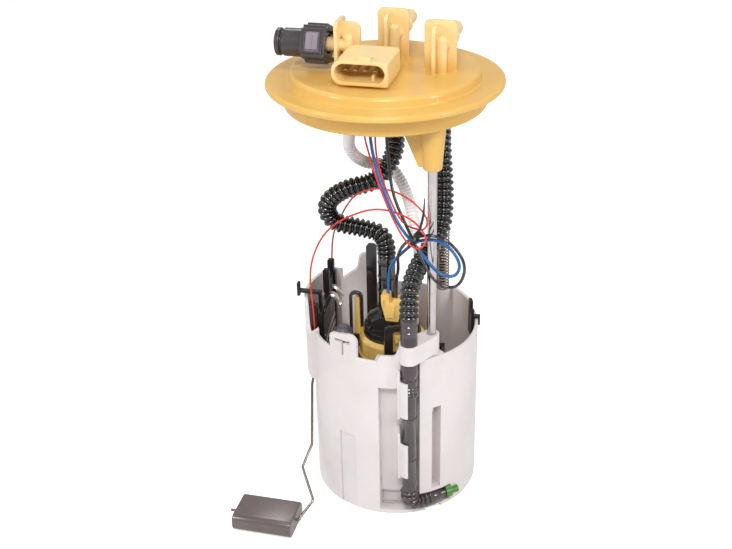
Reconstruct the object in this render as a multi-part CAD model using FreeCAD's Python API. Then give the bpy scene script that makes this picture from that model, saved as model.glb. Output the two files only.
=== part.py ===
import FreeCAD, Part
import os
from math import atan, atan2, cos, degrees, hypot, radians, sin, sqrt, tan

os.makedirs("parts", exist_ok=True)

# Fuel pump module for an in-tank fuel system, millimetres, +Z up.
# The origin is the middle of the reservoir's foot ring. The electrical socket
# faces -Y, two of the line nipples face +Y and the third one faces -X.

# driving dimensions: reservoir
potRadius = 57.0
potWall = 2.2
footHeight = 3.0
floorThickness = 2.5
rimHeight = 124.0
footEdgeRound = 1.2
bulgeReach = 5.0          # how far the sender pocket stands out of the wall
bulgeStart = 146.0        # azimuths in degrees, counter-clockwise from +X
bulgeEnd = 213.0
bulgeBottom = 90.0
bulgeTop = 146.0
channelStart = -88.5
channelEnd = -60.5
channelDepth = 7.0
undercutEnd = -35.5
undercutHeight = 15.5
undercutDepth = 11.0
# driving dimensions: guide rods
rodRadius = 3.0
frontRodX = potRadius - 24.0
frontRodY = 20.3 - potRadius
rearRodX = (potRadius - 6.0) * 8 / 17
rearRodY = (potRadius - 6.0) * 15 / 17
rodRunning = 0.06         # radial running fit of the rods in their guides
flangeTravel = 55.0
guideBottom = 85.0
frontGuideTop = 138.0
collarLow = 125.0
rearGuideTop = rimHeight + 4.0
guideWall = 3.0
bossWall = 2.2
# driving dimensions: flange
flangeX = -4.8
flangeY = -1.3
flangeRadius = 75.0
flangeUnder = 295.0
flangeTop = 299.0
domeTop = 305.0
domeRadius = 60.5
skirtRadius = 64.0
skirtBottom = 283.0
skirtWall = 2.5
plateWall = 3.2
towerWidth = 20.0
towerHeight = 31.0
towerPlate = 2.2
nippleRadius = 4.75
nippleReach = 40.0
nippleBead = 5.9
nippleTip = 20.0          # plain length between the tip and the bead
leftReach = 26.0
leftTip = 14.5
nippleBore = 2.7
riserRadius = 3.3
riserOffset = 1.8
riserBehind = 5.6
spigotRadius = 3.6
ventSpigot = 2.1
spigotEnd = 274.0
hoseTop = 285.0
hoseFit = 0.02          # radial, hose bore over a spigot
# driving dimensions: pump
pumpX = 0.0
pumpY = -9.0
pumpRadius = 19.0
pumpCanWall = 1.5
pumpBottom = 26.0
pumpTop = 110.0
ringWidth = 3.0
# driving dimensions: sender, arm and float
pivotY = 12.0
pivotZ = 78.0
pivotPin = 2.5
armWire = 0.95
floatLength = 42.0
floatDepth = 29.0
floatThickness = 12.4
# driving dimensions: lines
pipeX = 21.7
pipeY = 3.7 - potRadius
pipeRadius = 5.45
elbowRadius = 5.9
elbowHeight = 9.3
feedDia = 12.6
returnDia = 12.6
ventDia = 8.0
powerWireDia = 2.0
signalWireDia = 1.2
tieRadius = 5.55
tieThickness = 0.7
tieWidth = 1.6
# clearances
running = 0.05            # radial, turning or sliding pieces
snug = 0.05               # between glued or pressed pieces of one body


def vec(x, y, z):
    return FreeCAD.Vector(x, y, z)


def save(name, shape):
    if not shape.isValid():
        print("not valid:", name)
    solids = shape.Solids
    body = solids[0] if len(solids) == 1 else Part.makeCompound(solids)
    body.exportStep("parts/" + name + ".step")
    print(name, len(solids), round(body.Volume))


def fuse(shapes):
    first = shapes[0]
    return first.multiFuse(shapes[1:]).removeSplitter() if len(shapes) > 1 else first


def rod(x, y, z0, z1, r):
    return Part.makeCylinder(r, z1 - z0, vec(x, y, z0))


def tube(x, y, z0, z1, outer, inner):
    return rod(x, y, z0, z1, outer).cut(rod(x, y, z0 - 1, z1 + 1, inner))


def rodX(x0, x1, y, z, r):
    return Part.makeCylinder(r, x1 - x0, vec(x0, y, z), vec(1, 0, 0))


def rodY(y0, y1, x, z, r):
    return Part.makeCylinder(r, y1 - y0, vec(x, y0, z), vec(0, 1, 0))


def block(x0, x1, y0, y1, z0, z1):
    return Part.makeBox(x1 - x0, y1 - y0, z1 - z0, vec(x0, y0, z0))


def sector(r0, r1, z0, z1, a0, a1):
    # Part of a ring about Z, from azimuth a0 to a1 in degrees.
    whole = Part.makeCylinder(r1, z1 - z0, vec(0, 0, z0), vec(0, 0, 1), a1 - a0)
    whole.rotate(vec(0, 0, 0), vec(0, 0, 1), a0)
    return whole.cut(rod(0, 0, z0 - 1, z1 + 1, r0))


def roundedWire(corners, place):
    # Closed outline; each corner is (u, v, radius) and radius may be 0.
    points = [place(u, v) for u, v, r in corners]
    count = len(corners)
    starts = []
    ends = []
    for i in range(count):
        here = points[i]
        back = (points[i - 1] - here).normalize()
        ahead = (points[(i + 1) % count] - here).normalize()
        radius = corners[i][2]
        if radius > 0:
            half = back.getAngle(ahead) / 2
            reach = radius / tan(half)
            starts.append(here + back * reach)
            ends.append(here + ahead * reach)
        else:
            starts.append(here)
            ends.append(here)
    edges = []
    for i in range(count):
        here = points[i]
        radius = corners[i][2]
        if radius > 0:
            back = (points[i - 1] - here).normalize()
            ahead = (points[(i + 1) % count] - here).normalize()
            half = back.getAngle(ahead) / 2
            middle = here + (back + ahead).normalize() * (radius / sin(half) - radius)
            edges.append(Part.Arc(starts[i], middle, ends[i]).toShape())
        following = starts[(i + 1) % count]
        if (following - ends[i]).Length > 1e-6:
            edges.append(Part.LineSegment(ends[i], following).toShape())
    return Part.Wire(edges)


def prism(corners, place, along):
    # Rounded outline carried along a vector.
    return Part.Face(roundedWire(corners, place)).extrude(along)


def turned(corners, x, y):
    # Outline of (radius, height, corner radius) turned about a vertical axis.
    face = Part.Face(roundedWire(corners, lambda u, v: vec(x + u, y, v)))
    return face.revolve(vec(x, y, 0), vec(0, 0, 1), 360)


def turnedX(corners, y, z):
    # Outline of (x, radius, corner radius) turned about an axis along X.
    face = Part.Face(roundedWire(corners, lambda u, v: vec(u, y, z + v)))
    return face.revolve(vec(0, y, z), vec(1, 0, 0), 360)


def cordWire(name, points, dia):
    # Straight runs joined by tangent arcs; prints the smallest bend.
    places = [vec(*p) for p in points]
    edges = []
    at = places[0]
    tightest = 1e9
    for i in range(1, len(places) - 1):
        here = places[i]
        back = places[i - 1] - here
        ahead = places[i + 1] - here
        half = (180 - degrees(back.getAngle(ahead))) / 2
        if half < 0.05:
            continue
        reach = 0.45 * min(back.Length, ahead.Length)
        radius = reach / tan(radians(half))
        tightest = min(tightest, radius)
        inward = (back.normalize() + ahead.normalize()).normalize()
        open_ = radians(90 - half)
        middle = here + inward * (radius / sin(open_) - radius)
        enter = here + back * reach
        leave = here + ahead * reach
        edges.append(Part.LineSegment(at, enter).toShape())
        edges.append(Part.Arc(enter, middle, leave).toShape())
        at = leave
    edges.append(Part.LineSegment(at, places[-1]).toShape())
    wire = Part.Wire(edges)
    print("  route", name, "length", round(wire.Length, 1), "dia", dia, "tightest", round(tightest, 1))
    return wire


def cord(name, points, dia, bore=0):
    # Cord or hose of one section along its route.
    wire = cordWire(name, points, dia)
    direction = vec(*points[1]) - vec(*points[0])
    start = vec(*points[0])
    section = Part.Wire(Part.makeCircle(dia / 2, start, direction))
    solid = wire.makePipeShell([section], True, False)
    if bore > 0:
        inside = Part.Wire(Part.makeCircle(bore / 2, start, direction))
        solid = solid.cut(wire.makePipeShell([inside], True, False))
    ideal = wire.Length * 3.14159265 * (dia ** 2 - bore ** 2) / 4
    print("  volume share", round(solid.Volume / ideal, 4))
    return solid


def wallPatch(azimuth, corners, outer, inner):
    # Piece of a round wall; its outline is (distance along the wall, height, corner radius).
    a = radians(azimuth)
    out = vec(cos(a), sin(a), 0)
    side = vec(-sin(a), cos(a), 0)
    flat = prism(corners, lambda u, v: out * 20 + side * u + vec(0, 0, v), out * 60)
    ring = tube(0, 0, -5, 200, outer, inner)
    return flat.common(ring)


# reservoir

potInner = potRadius - potWall
channelFloor = potRadius - channelDepth
undercutFloor = potRadius - undercutDepth
bulgeOuter = potRadius + bulgeReach
frontAzimuth = degrees(atan2(frontRodY, frontRodX))
rearAzimuth = degrees(atan2(rearRodY, rearRodX))
guideRadius = rodRadius + guideWall
rodGap = rodRadius + rodRunning
grooveRadius = rodRadius + 0.6
floorTop = footHeight + floorThickness


def potShell():
    # Round cup with a foot ring, a raised floor and wall heights that change.
    cup = turned([
        (0, footHeight, 0), (potInner - 6, footHeight, 0), (potInner - 6, 0, 0),
        (potRadius, 0, footEdgeRound), (potRadius, rimHeight, 0.6), (potInner, rimHeight, 0.6),
        (potInner, floorTop, 0.8), (0, floorTop, 0)], 0, 0)
    for azimuth in (100, 190, 310):
        notch = block(potInner - 8, potRadius + 2, -6, 6, -1, footHeight - 0.6)
        notch.rotate(vec(0, 0, 0), vec(0, 0, 1), azimuth)
        cup = cup.cut(notch)
    pads = [rod(0, 0, 0, footHeight + 1, 9)]
    for azimuth in (30, 150, 270):
        rib = block(6, potInner - 4, -1.2, 1.2, 0.6, footHeight + 1)
        rib.rotate(vec(0, 0, 0), vec(0, 0, 1), azimuth)
        pads.append(rib)
    cup = cup.fuse(pads)
    # tab with rounded corners in front of the sender, left of the pump
    tab = wallPatch(-115, [(-11.4, 90, 0), (11.4, 90, 0), (11.4, 141.5, 5), (-11.4, 136, 4)],
                    potRadius, potInner)
    # wall rising behind the pump, with a taller rounded tongue
    rear = wallPatch(136, [(-16, 90, 0), (16, 90, 0), (16, 132, 2), (-4, 139, 3), (-6, 150, 4),
                           (-16, 150, 4)], potRadius, potInner)
    side = wallPatch(44, [(-17, 90, 0), (17, 90, 0), (14, 129.5, 6), (-14, 128, 6)],
                     potRadius, potInner)
    return fuse([cup, tab, rear, side])


def senderPocket(cup):
    # Pocket that stands out of the wall at the level sender, open inwards.
    left = (bulgeStart + bulgeEnd) / 2
    half = radians((bulgeEnd - bulgeStart) / 2) * bulgeOuter
    tall = [(-half - 4, bulgeBottom - 8, 0), (half + 4, bulgeBottom - 8, 0), (half + 4, rimHeight - 2, 0),
            (half - 7, rimHeight + 3, 5), (half - 11, bulgeTop, 5), (-half + 6, bulgeTop - 2, 6),
            (-half - 4, rimHeight + 6, 0)]
    whole = sector(potInner, bulgeOuter, bulgeBottom - 3, bulgeTop + 1, bulgeStart, bulgeEnd)
    skin = wallPatch(left, tall, bulgeOuter + 1, potInner - 1)
    hollow = sector(potInner - 2, bulgeOuter - potWall, bulgeBottom + potWall, bulgeTop + 2,
                    bulgeStart + 2.4, bulgeEnd - 1.5)
    under = Part.makeCone(potRadius - 1, bulgeOuter + 4, 7, vec(0, 0, bulgeBottom - 4))
    below = rod(0, 0, bulgeBottom - 4, bulgeBottom + 3, bulgeOuter + 6).cut(under)
    pocket = whole.common(skin).cut(below)
    return cup.fuse(pocket).cut(hollow)


def pipeChannel(cup):
    # Channel down the front for the return pipe, and the undercut for its elbow.
    t = potWall
    inset = degrees(t / channelFloor)
    cut = sector(channelFloor, potRadius + 1, footHeight + 0.01, rimHeight + 1, channelStart, channelEnd)
    back = sector(channelFloor - t, channelFloor, footHeight, rimHeight,
                  channelStart - inset, channelEnd + inset)
    sideA = sector(channelFloor - t, potRadius - 0.5, footHeight, rimHeight,
                   channelStart - inset, channelStart)
    low = sector(undercutFloor, potRadius + 2, footHeight + 0.01, undercutHeight,
                 channelStart, undercutEnd)
    roof = sector(undercutFloor - t, potInner + 0.5, undercutHeight, undercutHeight + t,
                  channelStart - inset, undercutEnd + inset)
    lowBack = sector(undercutFloor - t, undercutFloor, footHeight, undercutHeight + t,
                     channelStart - inset, undercutEnd + inset)
    lowEnd = sector(undercutFloor - t, potRadius - 0.5, footHeight, undercutHeight + t,
                    undercutEnd, undercutEnd + inset + 1)
    body = cup.cut(cut).fuse([back, sideA, roof, lowBack, lowEnd]).cut(low)
    opening = sector(channelFloor, potRadius + 1, undercutHeight - 1, undercutHeight + t + 1,
                     channelStart, channelEnd)
    return body.cut(opening)


def rodGuides(cup):
    # Bored posts for the two guide rods, with a slot below the front one.
    front = sector(potRadius - 13.5, potRadius, undercutHeight, rimHeight - 1, channelEnd,
                   frontAzimuth + 8.5)
    front = front.fuse(rod(frontRodX, frontRodY, guideBottom - 8, frontGuideTop + 0.4,
                           rodRadius + bossWall))
    out = vec(cos(radians(frontAzimuth)), sin(radians(frontAzimuth)), 0)
    slot = block(0, 20, -rodRadius - 0.4, rodRadius + 0.4, undercutHeight + 2, guideBottom)
    slot.rotate(vec(0, 0, 0), vec(0, 0, 1), frontAzimuth)
    slot.translate(vec(frontRodX, frontRodY, 0))
    slot = slot.fuse(rod(frontRodX, frontRodY, undercutHeight + 2, guideBottom, grooveRadius))
    rear = rod(rearRodX, rearRodY, floorTop - 0.5, rearGuideTop, guideRadius)
    rearOut = vec(cos(radians(rearAzimuth)), sin(radians(rearAzimuth)), 0)
    web = block(0, potRadius - 1 - hypot(rearRodX, rearRodY), -guideRadius + 0.4, guideRadius - 0.4,
                floorTop - 0.5, rimHeight - 6)
    web.rotate(vec(0, 0, 0), vec(0, 0, 1), rearAzimuth)
    web.translate(vec(rearRodX, rearRodY, 0))
    web = web.common(rod(0, 0, 0, 200, potInner + 0.6))
    relief = rod(rearRodX, rearRodY, floorTop + 2, guideBottom, stopRadius + 0.5)
    window = block(-guideRadius - 2, 0, -stopRadius - 0.5, stopRadius + 0.5, floorTop + 2, guideBottom)
    window.rotate(vec(0, 0, 0), vec(0, 0, 1), rearAzimuth)
    window.translate(vec(rearRodX, rearRodY, 0))
    return cup.fuse([front, rear, web]).cut(slot.fuse([relief, window]))


def collarBridge(cup):
    # Collar round the return pipe, tied to the front rod guide and to the wall.
    top = frontGuideTop + 0.4
    collarRadius = pipeRadius + 1.1
    bossRadius = rodRadius + bossWall
    gap = hypot(frontRodX - pipeX, frontRodY - pipeY)
    lean = (collarRadius - bossRadius) / gap
    collar = rod(pipeX, pipeY, collarLow, top, collarRadius)
    bar = prism([(lean * collarRadius, collarRadius, 0), (gap + lean * bossRadius, bossRadius, 0),
                 (gap + lean * bossRadius, -bossRadius, 0), (lean * collarRadius, -collarRadius, 0)],
                lambda u, v: vec(u, v, collarLow), vec(0, 0, top - collarLow))
    bar.rotate(vec(0, 0, 0), vec(0, 0, 1), degrees(atan2(frontRodY - pipeY, frontRodX - pipeX)))
    bar.translate(vec(pipeX, pipeY, 0))
    step = rimHeight + 4.6
    cheek = wallPatch(-81, [(-8.5, 104, 0), (10, 104, 0), (10, top - 2, 0), (6.6, top - 2, 1.5),
                            (4.2, step, 3), (-6, step, 3), (-8.5, rimHeight - 1, 0)], potRadius, potInner)
    bore = rod(pipeX, pipeY, collarLow - 24, top + 1, pipeRadius + snug)
    return cup.fuse([collar, bar, cheek]).cut(bore)


def pipeClips(cup):
    # Two upright fins in the channel whose lips reach round the pipe.
    azimuth = -74.9
    fins = []
    for z0, z1 in ((82.0, 119.0), (33.5, 70.0)):
        fin = block(channelFloor - 0.5, potRadius + 3.5, -0.9, 0.9, z0, z1)
        fin.rotate(vec(0, 0, 0), vec(0, 0, 1), azimuth)
        arc = sector(pipeRadius + 0.15, pipeRadius + 1.75, z0 + 2, z1 - 8, 165, 275)
        arc.translate(vec(pipeX, pipeY, 0))
        fins.append(fin.cut(rod(pipeX, pipeY, z0 - 1, z1 + 1, pipeRadius + 0.15)))
        fins.append(arc)
    return cup.fuse(fins)


def reservoir():
    cup = rodGuides(pipeChannel(senderPocket(potShell())))
    cup = pipeClips(collarBridge(cup))
    # shallow recess low on the left of the front
    recess = wallPatch(-112.5, [(-6.6, -1, 0), (6.6, -1, 0), (6.6, 61, 1), (-6.6, 61, 1)],
                       potRadius + 2, potRadius - 1.1)
    # T-shaped slot in the tab
    bar = wallPatch(-115, [(-6.2, 131.4, 0), (6.6, 132.6, 0), (6.6, 134.8, 0), (-6.2, 133.6, 0)],
                    potRadius + 2, potInner - 2)
    stem = wallPatch(-115, [(-0.2, 122.8, 0), (1.4, 122.8, 0), (1.4, 132.4, 0), (-0.2, 132.4, 0)],
                     potRadius + 2, potInner - 2)
    # round hole for the sender's bearing, and the inlet in the floor
    bearing = rodX(-potRadius - 2, -potInner + 8, pivotY, pivotZ, bearingRadius + 0.15)
    inlet = rod(valveX, valveY, 0, floorTop + 1, valveStem + running)
    ports = [rod(valveX + 5 * cos(radians(a)), valveY + 5 * sin(radians(a)), 0, floorTop + 1, 1.3)
             for a in range(0, 360, 60)]
    # hole for the nozzle fitting at the end of the undercut
    nozzle = nozzleRod(-2, 11, 2.6 + snug)
    guides = [rod(frontRodX, frontRodY, guideBottom - 1, frontGuideTop + 1, rodGap),
              rod(rearRodX, rearRodY, guideBottom - 1, rearGuideTop + 1, rodGap)]
    return cup.cut([recess, bar, stem, bearing, inlet, nozzle] + guides + ports)


# rods and spring

stopRadius = 4.8
rodTop = 296.0
frontRodBottom = 78.0
rearRodBottom = 76.0
socketRadius = 5.9
frontSocketEnd = 254.0
rearSocketEnd = 262.0
springRadius = 5.2
stopThickness = 1.6


def guideRod(x, y, bottom):
    return turned([(0, bottom, 0), (rodRadius, bottom, 0.8), (rodRadius, rodTop, 0.6),
                   (0, rodTop, 0)], x, y)


def rearGuideRod():
    groove = tube(rearRodX, rearRodY, guideBottom - 3.6, guideBottom - 3.6 + stopThickness,
                  rodRadius + 2, rodRadius - 0.8)
    return guideRod(rearRodX, rearRodY, rearRodBottom).cut(groove)


def rodStop():
    # Spring clip that keeps the rear rod from leaving its guide.
    z0 = guideBottom - 3.6 + 0.05
    z1 = z0 + stopThickness - 0.1
    disc = tube(rearRodX, rearRodY, z0, z1, stopRadius, rodRadius - 0.8 + snug)
    mouth = block(rearRodX - stopRadius - 1, rearRodX, rearRodY - 2, rearRodY + 2, z0 - 1, z1 + 1)
    return disc.cut(mouth)


def returnSpring():
    return tube(rearRodX, rearRodY, rearGuideTop, rearSocketEnd, springRadius, rodRadius + 0.4)


# flange

nippleHeight = domeTop + 15.3
centreTower = (-4.2, 20.5)
rightTower = (30.1, 0.0)
leftTower = (-31.2, -9.0)
plugX0 = -26.5
plugX1 = 7.9
plugFront = -46.0
plugBack = -14.0
plugLow = domeTop + 2
plugHigh = 322.0
plugWall = 2.0
plugDepth = 18.0


def towerPieces(side, reach, tip):
    # Line outlet pointing along +Y: stop plate, fin, riser and nipple, at the origin.
    z0 = domeTop - 1.1
    w = towerWidth / 2
    top = domeTop + towerHeight
    plate = prism([(-w, z0, 0), (w, z0, 0), (w, top, 3.2), (-w, top, 3.2)],
                  lambda u, v: vec(u, -towerPlate / 2, v), vec(0, towerPlate, 0))
    finX = -side * 2.15
    fin = prism([(0, z0, 0), (0, top - 2, 0), (-12.6, top - 2, 4.5), (-13.2, z0, 0)],
                lambda u, v: vec(finX - 1.1, u, v), vec(2.2, 0, 0))
    x = side * riserOffset
    riserTop = nippleHeight + 7.2
    riser = turned([(0, z0, 0), (riserRadius, z0, 0), (riserRadius, riserTop, riserRadius * 0.8),
                    (0, riserTop, 0)], x, -riserBehind)
    neck = rodY(-riserBehind, 0, x, nippleHeight, nippleRadius - 0.9)
    bead = reach - tip
    face = Part.Face(roundedWire([
        (0, 0, 0), (reach, 0, 0), (reach, nippleRadius, 0.8),
        (bead + 2.2, nippleRadius, 0), (bead + 1.6, nippleBead, 0.4), (bead, nippleBead, 0.4),
        (bead - 0.8, nippleRadius - 0.15, 0), (0, nippleRadius - 0.15, 0)],
        lambda u, v: vec(x, u, nippleHeight + v)))
    nipple = face.revolve(vec(x, 0, nippleHeight), vec(0, 1, 0), 360)
    return [plate, fin, riser, neck, nipple]


def towerBore(side, reach, tail):
    x = side * riserOffset
    across = rodY(-riserBehind, reach + 1, x, nippleHeight, nippleBore)
    down = rod(x, -riserBehind, spigotEnd - 2, nippleHeight, tail * 0.6)
    return across.fuse(down)


def spigot(side, r):
    # Hose tail that hangs from the flange under a tower's riser.
    return turned([(0, spigotEnd, 0), (r - 0.4, spigotEnd, 0), (r, spigotEnd + 2.4, 0),
                   (r, spigotEnd + 3, 0),
                   (r - 0.3, spigotEnd + 3, 0), (r - 0.3, hoseTop, 0), (r + 2.6, hoseTop + 0.02, 0.5),
                   (r + 3, domeTop - plateWall + 1, 0), (0, domeTop - plateWall + 1, 0)],
                  side * riserOffset, -riserBehind)


def placeTower(shape, where, turn):
    shape.Placement = FreeCAD.Placement(vec(where[0], where[1], 0), FreeCAD.Rotation(vec(0, 0, 1), turn))
    return shape


towers = ((centreTower, 0, 1, nippleReach, nippleTip, spigotRadius),
          (rightTower, 0, 1, nippleReach, nippleTip, spigotRadius),
          (leftTower, 90, -1, leftReach, leftTip, ventSpigot))


def riserPlace(where, turn, side, reach, tip, tail):
    # Centre of a tower's riser, in the object's own frame.
    p = vec(side * riserOffset, -riserBehind, 0)
    a = radians(turn)
    return (where[0] + p.x * cos(a) - p.y * sin(a), where[1] + p.x * sin(a) + p.y * cos(a))


def rodSocket(x, y, end, spread):
    # Tapered socket that holds a rod under the flange.
    wide = socketRadius + spread
    inDome = domeTop - plateWall + 1
    return turned([(0, end, 0), (socketRadius, end, 1.2), (wide, skirtBottom, 0), (wide, inDome, 0),
                   (0, inDome, 0)], x, y)


def plugShell():
    # Open box of the electrical socket with its latch ramp and mounting foot.
    high = plugHigh - plugLow
    shell = prism([(plugX0, plugLow, high * 0.42), (plugX1, plugLow, 1.2), (plugX1, plugHigh, 2.0),
                   (plugX0, plugHigh, high * 0.42)],
                  lambda u, v: vec(u, plugFront, v), vec(0, plugBack - plugFront, 0))
    inner = (high - 2 * plugWall) / 2 - 0.01
    cavity = prism([(plugX0 + plugWall, plugLow + plugWall, inner),
                    (plugX1 - plugWall, plugLow + plugWall, inner),
                    (plugX1 - plugWall, plugHigh - plugWall, inner),
                    (plugX0 + plugWall, plugHigh - plugWall, inner)],
                   lambda u, v: vec(u, plugFront - 1, v), vec(0, plugDepth + 1, 0))
    foot = block(plugX0 + 5, plugX1 - 1.5, plugFront + 6, plugBack, domeTop - 0.5, plugLow + 2)
    latch = prism([(0, plugHigh - 1, 0), (9, plugHigh - 1, 0), (9, plugHigh + 0.1, 0),
                   (2.2, plugHigh + 2.4, 0.5),
                   (0, plugHigh + 2.4, 0.4)],
                  lambda u, v: vec(plugLatchX - 3.4, plugFront + u, v), vec(6.8, 0, 0))
    key = block(plugX1 - plugWall - 9, plugX1 - plugWall - 7.4, plugFront + 5, plugFront + plugDepth,
                plugLow + 1.5, plugLow + plugWall + 3.2)
    return shell.cut(cavity), fuse([foot, latch, key])


plugLatchX = -6.0
pinCount = 4
pinPitch = 6.0
pinFront = plugFront + 6


def pinPlaces():
    middle = (plugX0 + plugX1) / 2 - 1
    return [middle + (i - (pinCount - 1) / 2) * pinPitch for i in range(pinCount)]


def flange():
    # One moulding: rim, dome, skirt, three line towers, socket and rod holders.
    plate = turned([
        (0, domeTop, 0), (domeRadius - 1.2, domeTop, 2.6), (domeRadius, flangeTop, 0.9),
        (flangeRadius, flangeTop, 1.8), (flangeRadius, flangeUnder, 1.4), (skirtRadius, flangeUnder, 0.6),
        (skirtRadius, skirtBottom, 0.8), (skirtRadius - skirtWall, skirtBottom, 0.8),
        (skirtRadius - skirtWall, flangeUnder + 1.4, 0), (domeRadius - 4.5, flangeUnder + 1.4, 0),
        (domeRadius - 4.5, domeTop - plateWall, 1), (0, domeTop - plateWall, 0)], flangeX, flangeY)
    ribs = []
    for i in range(6):
        rib = block(10, domeRadius - 3, -0.9, 0.9, flangeUnder + 2, domeTop - plateWall + 0.5)
        rib.rotate(vec(0, 0, 0), vec(0, 0, 1), 30 * (2 * i + 1))
        rib.translate(vec(flangeX, flangeY, 0))
        ribs.append(rib)
    pieces = [plate] + ribs
    bores = []
    for where, turn, side, reach, tip, tail in towers:
        pieces += [placeTower(piece, where, turn) for piece in towerPieces(side, reach, tip)]
        pieces.append(placeTower(spigot(side, tail), where, turn))
        bores.append(placeTower(towerBore(side, reach, tail), where, turn))
    pieces.append(rodSocket(frontRodX, frontRodY, frontSocketEnd, 2.4))
    pieces.append(rodSocket(rearRodX, rearRodY, rearSocketEnd, 2.4))
    web = prism([(0, frontSocketEnd + 1.5, 0), (8.4, frontSocketEnd + 1.5, 1), (18.5, skirtBottom - 5, 2),
                 (24, skirtBottom + 2, 0), (24, domeTop - plateWall + 1, 0),
                 (0, domeTop - plateWall + 1, 0)],
                lambda u, v: vec(u, -1.4, v), vec(0, 2.8, 0))
    web.rotate(vec(0, 0, 0), vec(0, 0, 1), 176)
    web.translate(vec(frontRodX, frontRodY - 1.0, 0))
    pieces.append(web)
    shell, trim = plugShell()
    pieces += [shell, trim]
    grommet = block(wireX - 11, wireX + 11, wireY - 4, wireY + 4, wireTop, flangeUnder + 8)
    pieces.append(grommet)
    body = pieces[0]
    for piece in pieces[1:]:
        body = body.fuse(piece)
    body = body.removeSplitter()
    drills = [rod(frontRodX, frontRodY, frontSocketEnd - 1, rodTop, rodRadius + 0.02),
              rod(rearRodX, rearRodY, rearSocketEnd - 1, rodTop, rodRadius + 0.02)]
    for x in pinPlaces():
        drills.append(block(x - 1.2, x + 1.2, plugFront + plugDepth - 1, plugBack + 1, pinLow, pinHigh))
    for cut in bores + drills:
        body = body.cut(cut)
    return body


pinLow = (plugLow + plugHigh) / 2 - 0.4
pinHigh = pinLow + 0.8


def connectorPins():
    pins = []
    for x in pinPlaces():
        pins.append(prism([(pinFront, pinLow, 0.25), (pinFront, pinHigh, 0.25), (plugBack - 1, pinHigh, 0),
                           (plugBack - 1, pinLow, 0)], lambda u, v: vec(x - 1.15, u, v), vec(2.3, 0, 0)))
    return Part.makeCompound(pins)


# quick connector

qcY = leftTower[1] - riserOffset
qcZ = nippleHeight
qcStart = leftTower[0] - towerPlate / 2 - 0.6
qcRing = 5.4
qcBody = 14.2
qcBarrel = 13.6
qcNeck = 1.6
qcDisc = 3.2
qcTilt = -26.0           # how far the coupling is turned on its nipple
bodyHeight = 20.4
bodyDepth = 16.4
barrelRadius = 8.7
discRadius = 8.6
lineBore = 5.0
lineDepth = 9.0
buttonTravel = 1.2
buttonWidth = 7.6
buttonHeight = 10.8
buttonGap = 0.8
bodyEnd = qcStart - qcRing
barrelStart = bodyEnd - qcBody
barrelEnd = barrelStart - qcBarrel
discStart = barrelEnd - qcNeck
qcEnd = discStart - qcDisc
cavityRadius = nippleBead + running + 0.25


def quickConnector():
    # Snap coupling on the left nipple: hooded end, windowed body, barrel and end disc.
    h = bodyHeight / 2
    d = bodyDepth / 2
    body = prism([(-d, -h, 1.2), (d, -h, 1.2), (d, h, 1.2), (-d, h, 1.2)],
                 lambda u, v: vec(barrelStart, qcY + u, qcZ + v), vec(qcBody, 0, 0))
    frame = prism([(-d - 1.3, -7.8, 0.8), (d + 1.3, -7.8, 0.8), (d + 1.3, 7.8, 0.8), (-d - 1.3, 7.8, 0.8)],
                  lambda u, v: vec(barrelStart - 0.8, qcY + u, qcZ + v), vec(13.8, 0, 0))
    wings = []
    for s in (-1, 1):
        outline = [(-4.6, s * (h - 1), 0), (4.6, s * (h - 1), 0), (4.0, s * (h + 1.9), 0.8),
                   (-4.0, s * (h + 1.9), 0.8)]
        wings.append(prism(outline, lambda u, v: vec(barrelStart + 1.4, qcY + u, qcZ + v),
                           vec(qcBody - 1.4, 0, 0)))
    hood = turnedX([(bodyEnd - 0.5, 0, 0), (bodyEnd - 0.5, h + 1.4, 0), (bodyEnd + 1.0, h + 1.4, 0.4),
                    (qcStart, h - 0.4, 0.6), (qcStart, 0, 0)], qcY, qcZ)
    barrel = turnedX([(qcEnd, 0, 0), (qcEnd, discRadius, 0.9), (discStart, discRadius, 0.9),
                      (discStart, 6.9, 0.3), (barrelEnd, 6.9, 0.3), (barrelEnd, barrelRadius, 0.8),
                      (barrelStart + 1, barrelRadius + 0.15, 0), (barrelStart + 1, 0, 0)], qcY, qcZ)
    whole = fuse([body, frame, hood, barrel] + wings)
    # stepped bore: hooded mouth, bead pocket, nipple, line port
    beadEnd = leftTower[0] - (leftReach - leftTip) - 3.0
    tipEnd = leftTower[0] - leftReach - 0.8
    mouth = rodX(bodyEnd + 0.6, qcStart + 1, qcY, qcZ, h - 1.7)
    wide = rodX(beadEnd, qcStart + 1, qcY, qcZ, cavityRadius)
    narrow = rodX(tipEnd, beadEnd + 1, qcY, qcZ, nippleRadius + running)
    sealPocket = rodX(sealEnd, sealEnd + sealCount * sealPitch, qcY, qcZ, sealOuter + 0.02)
    through = rodX(qcEnd - 1, tipEnd + 1, qcY, qcZ, 3.2)
    port = rodX(qcEnd - 1, qcEnd + lineDepth, qcY, qcZ, lineBore)
    slot = block(buttonX0 - buttonGap, buttonX1 + buttonGap, qcY - 20, qcY + 20,
                 qcZ - buttonHeight / 2 - buttonGap, qcZ + buttonHeight / 2 + buttonGap)
    # the hood is open front and back between its upper and lower lips
    gap = prism([(bodyEnd + 0.6, -6.6, 0), (qcStart + 1, -9.0, 0), (qcStart + 1, 9.0, 0),
                 (bodyEnd + 0.6, 6.6, 0)],
                lambda u, v: vec(u, qcY - 20, qcZ + v), vec(0, 40, 0))
    for cut in (mouth, wide, narrow, sealPocket, through, port, slot, gap):
        whole = whole.cut(cut)
    return turnCoupling(whole)


def turnCoupling(shape):
    shape.rotate(vec(0, qcY, qcZ), vec(1, 0, 0), qcTilt)
    return shape


buttonX0 = barrelStart + 2.4
buttonX1 = buttonX0 + buttonWidth
sealInner = nippleRadius + 0.03
sealOuter = 6.9
sealPitch = 2.4
sealCount = 2
sealEnd = leftTower[0] - leftReach + 0.4


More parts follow.
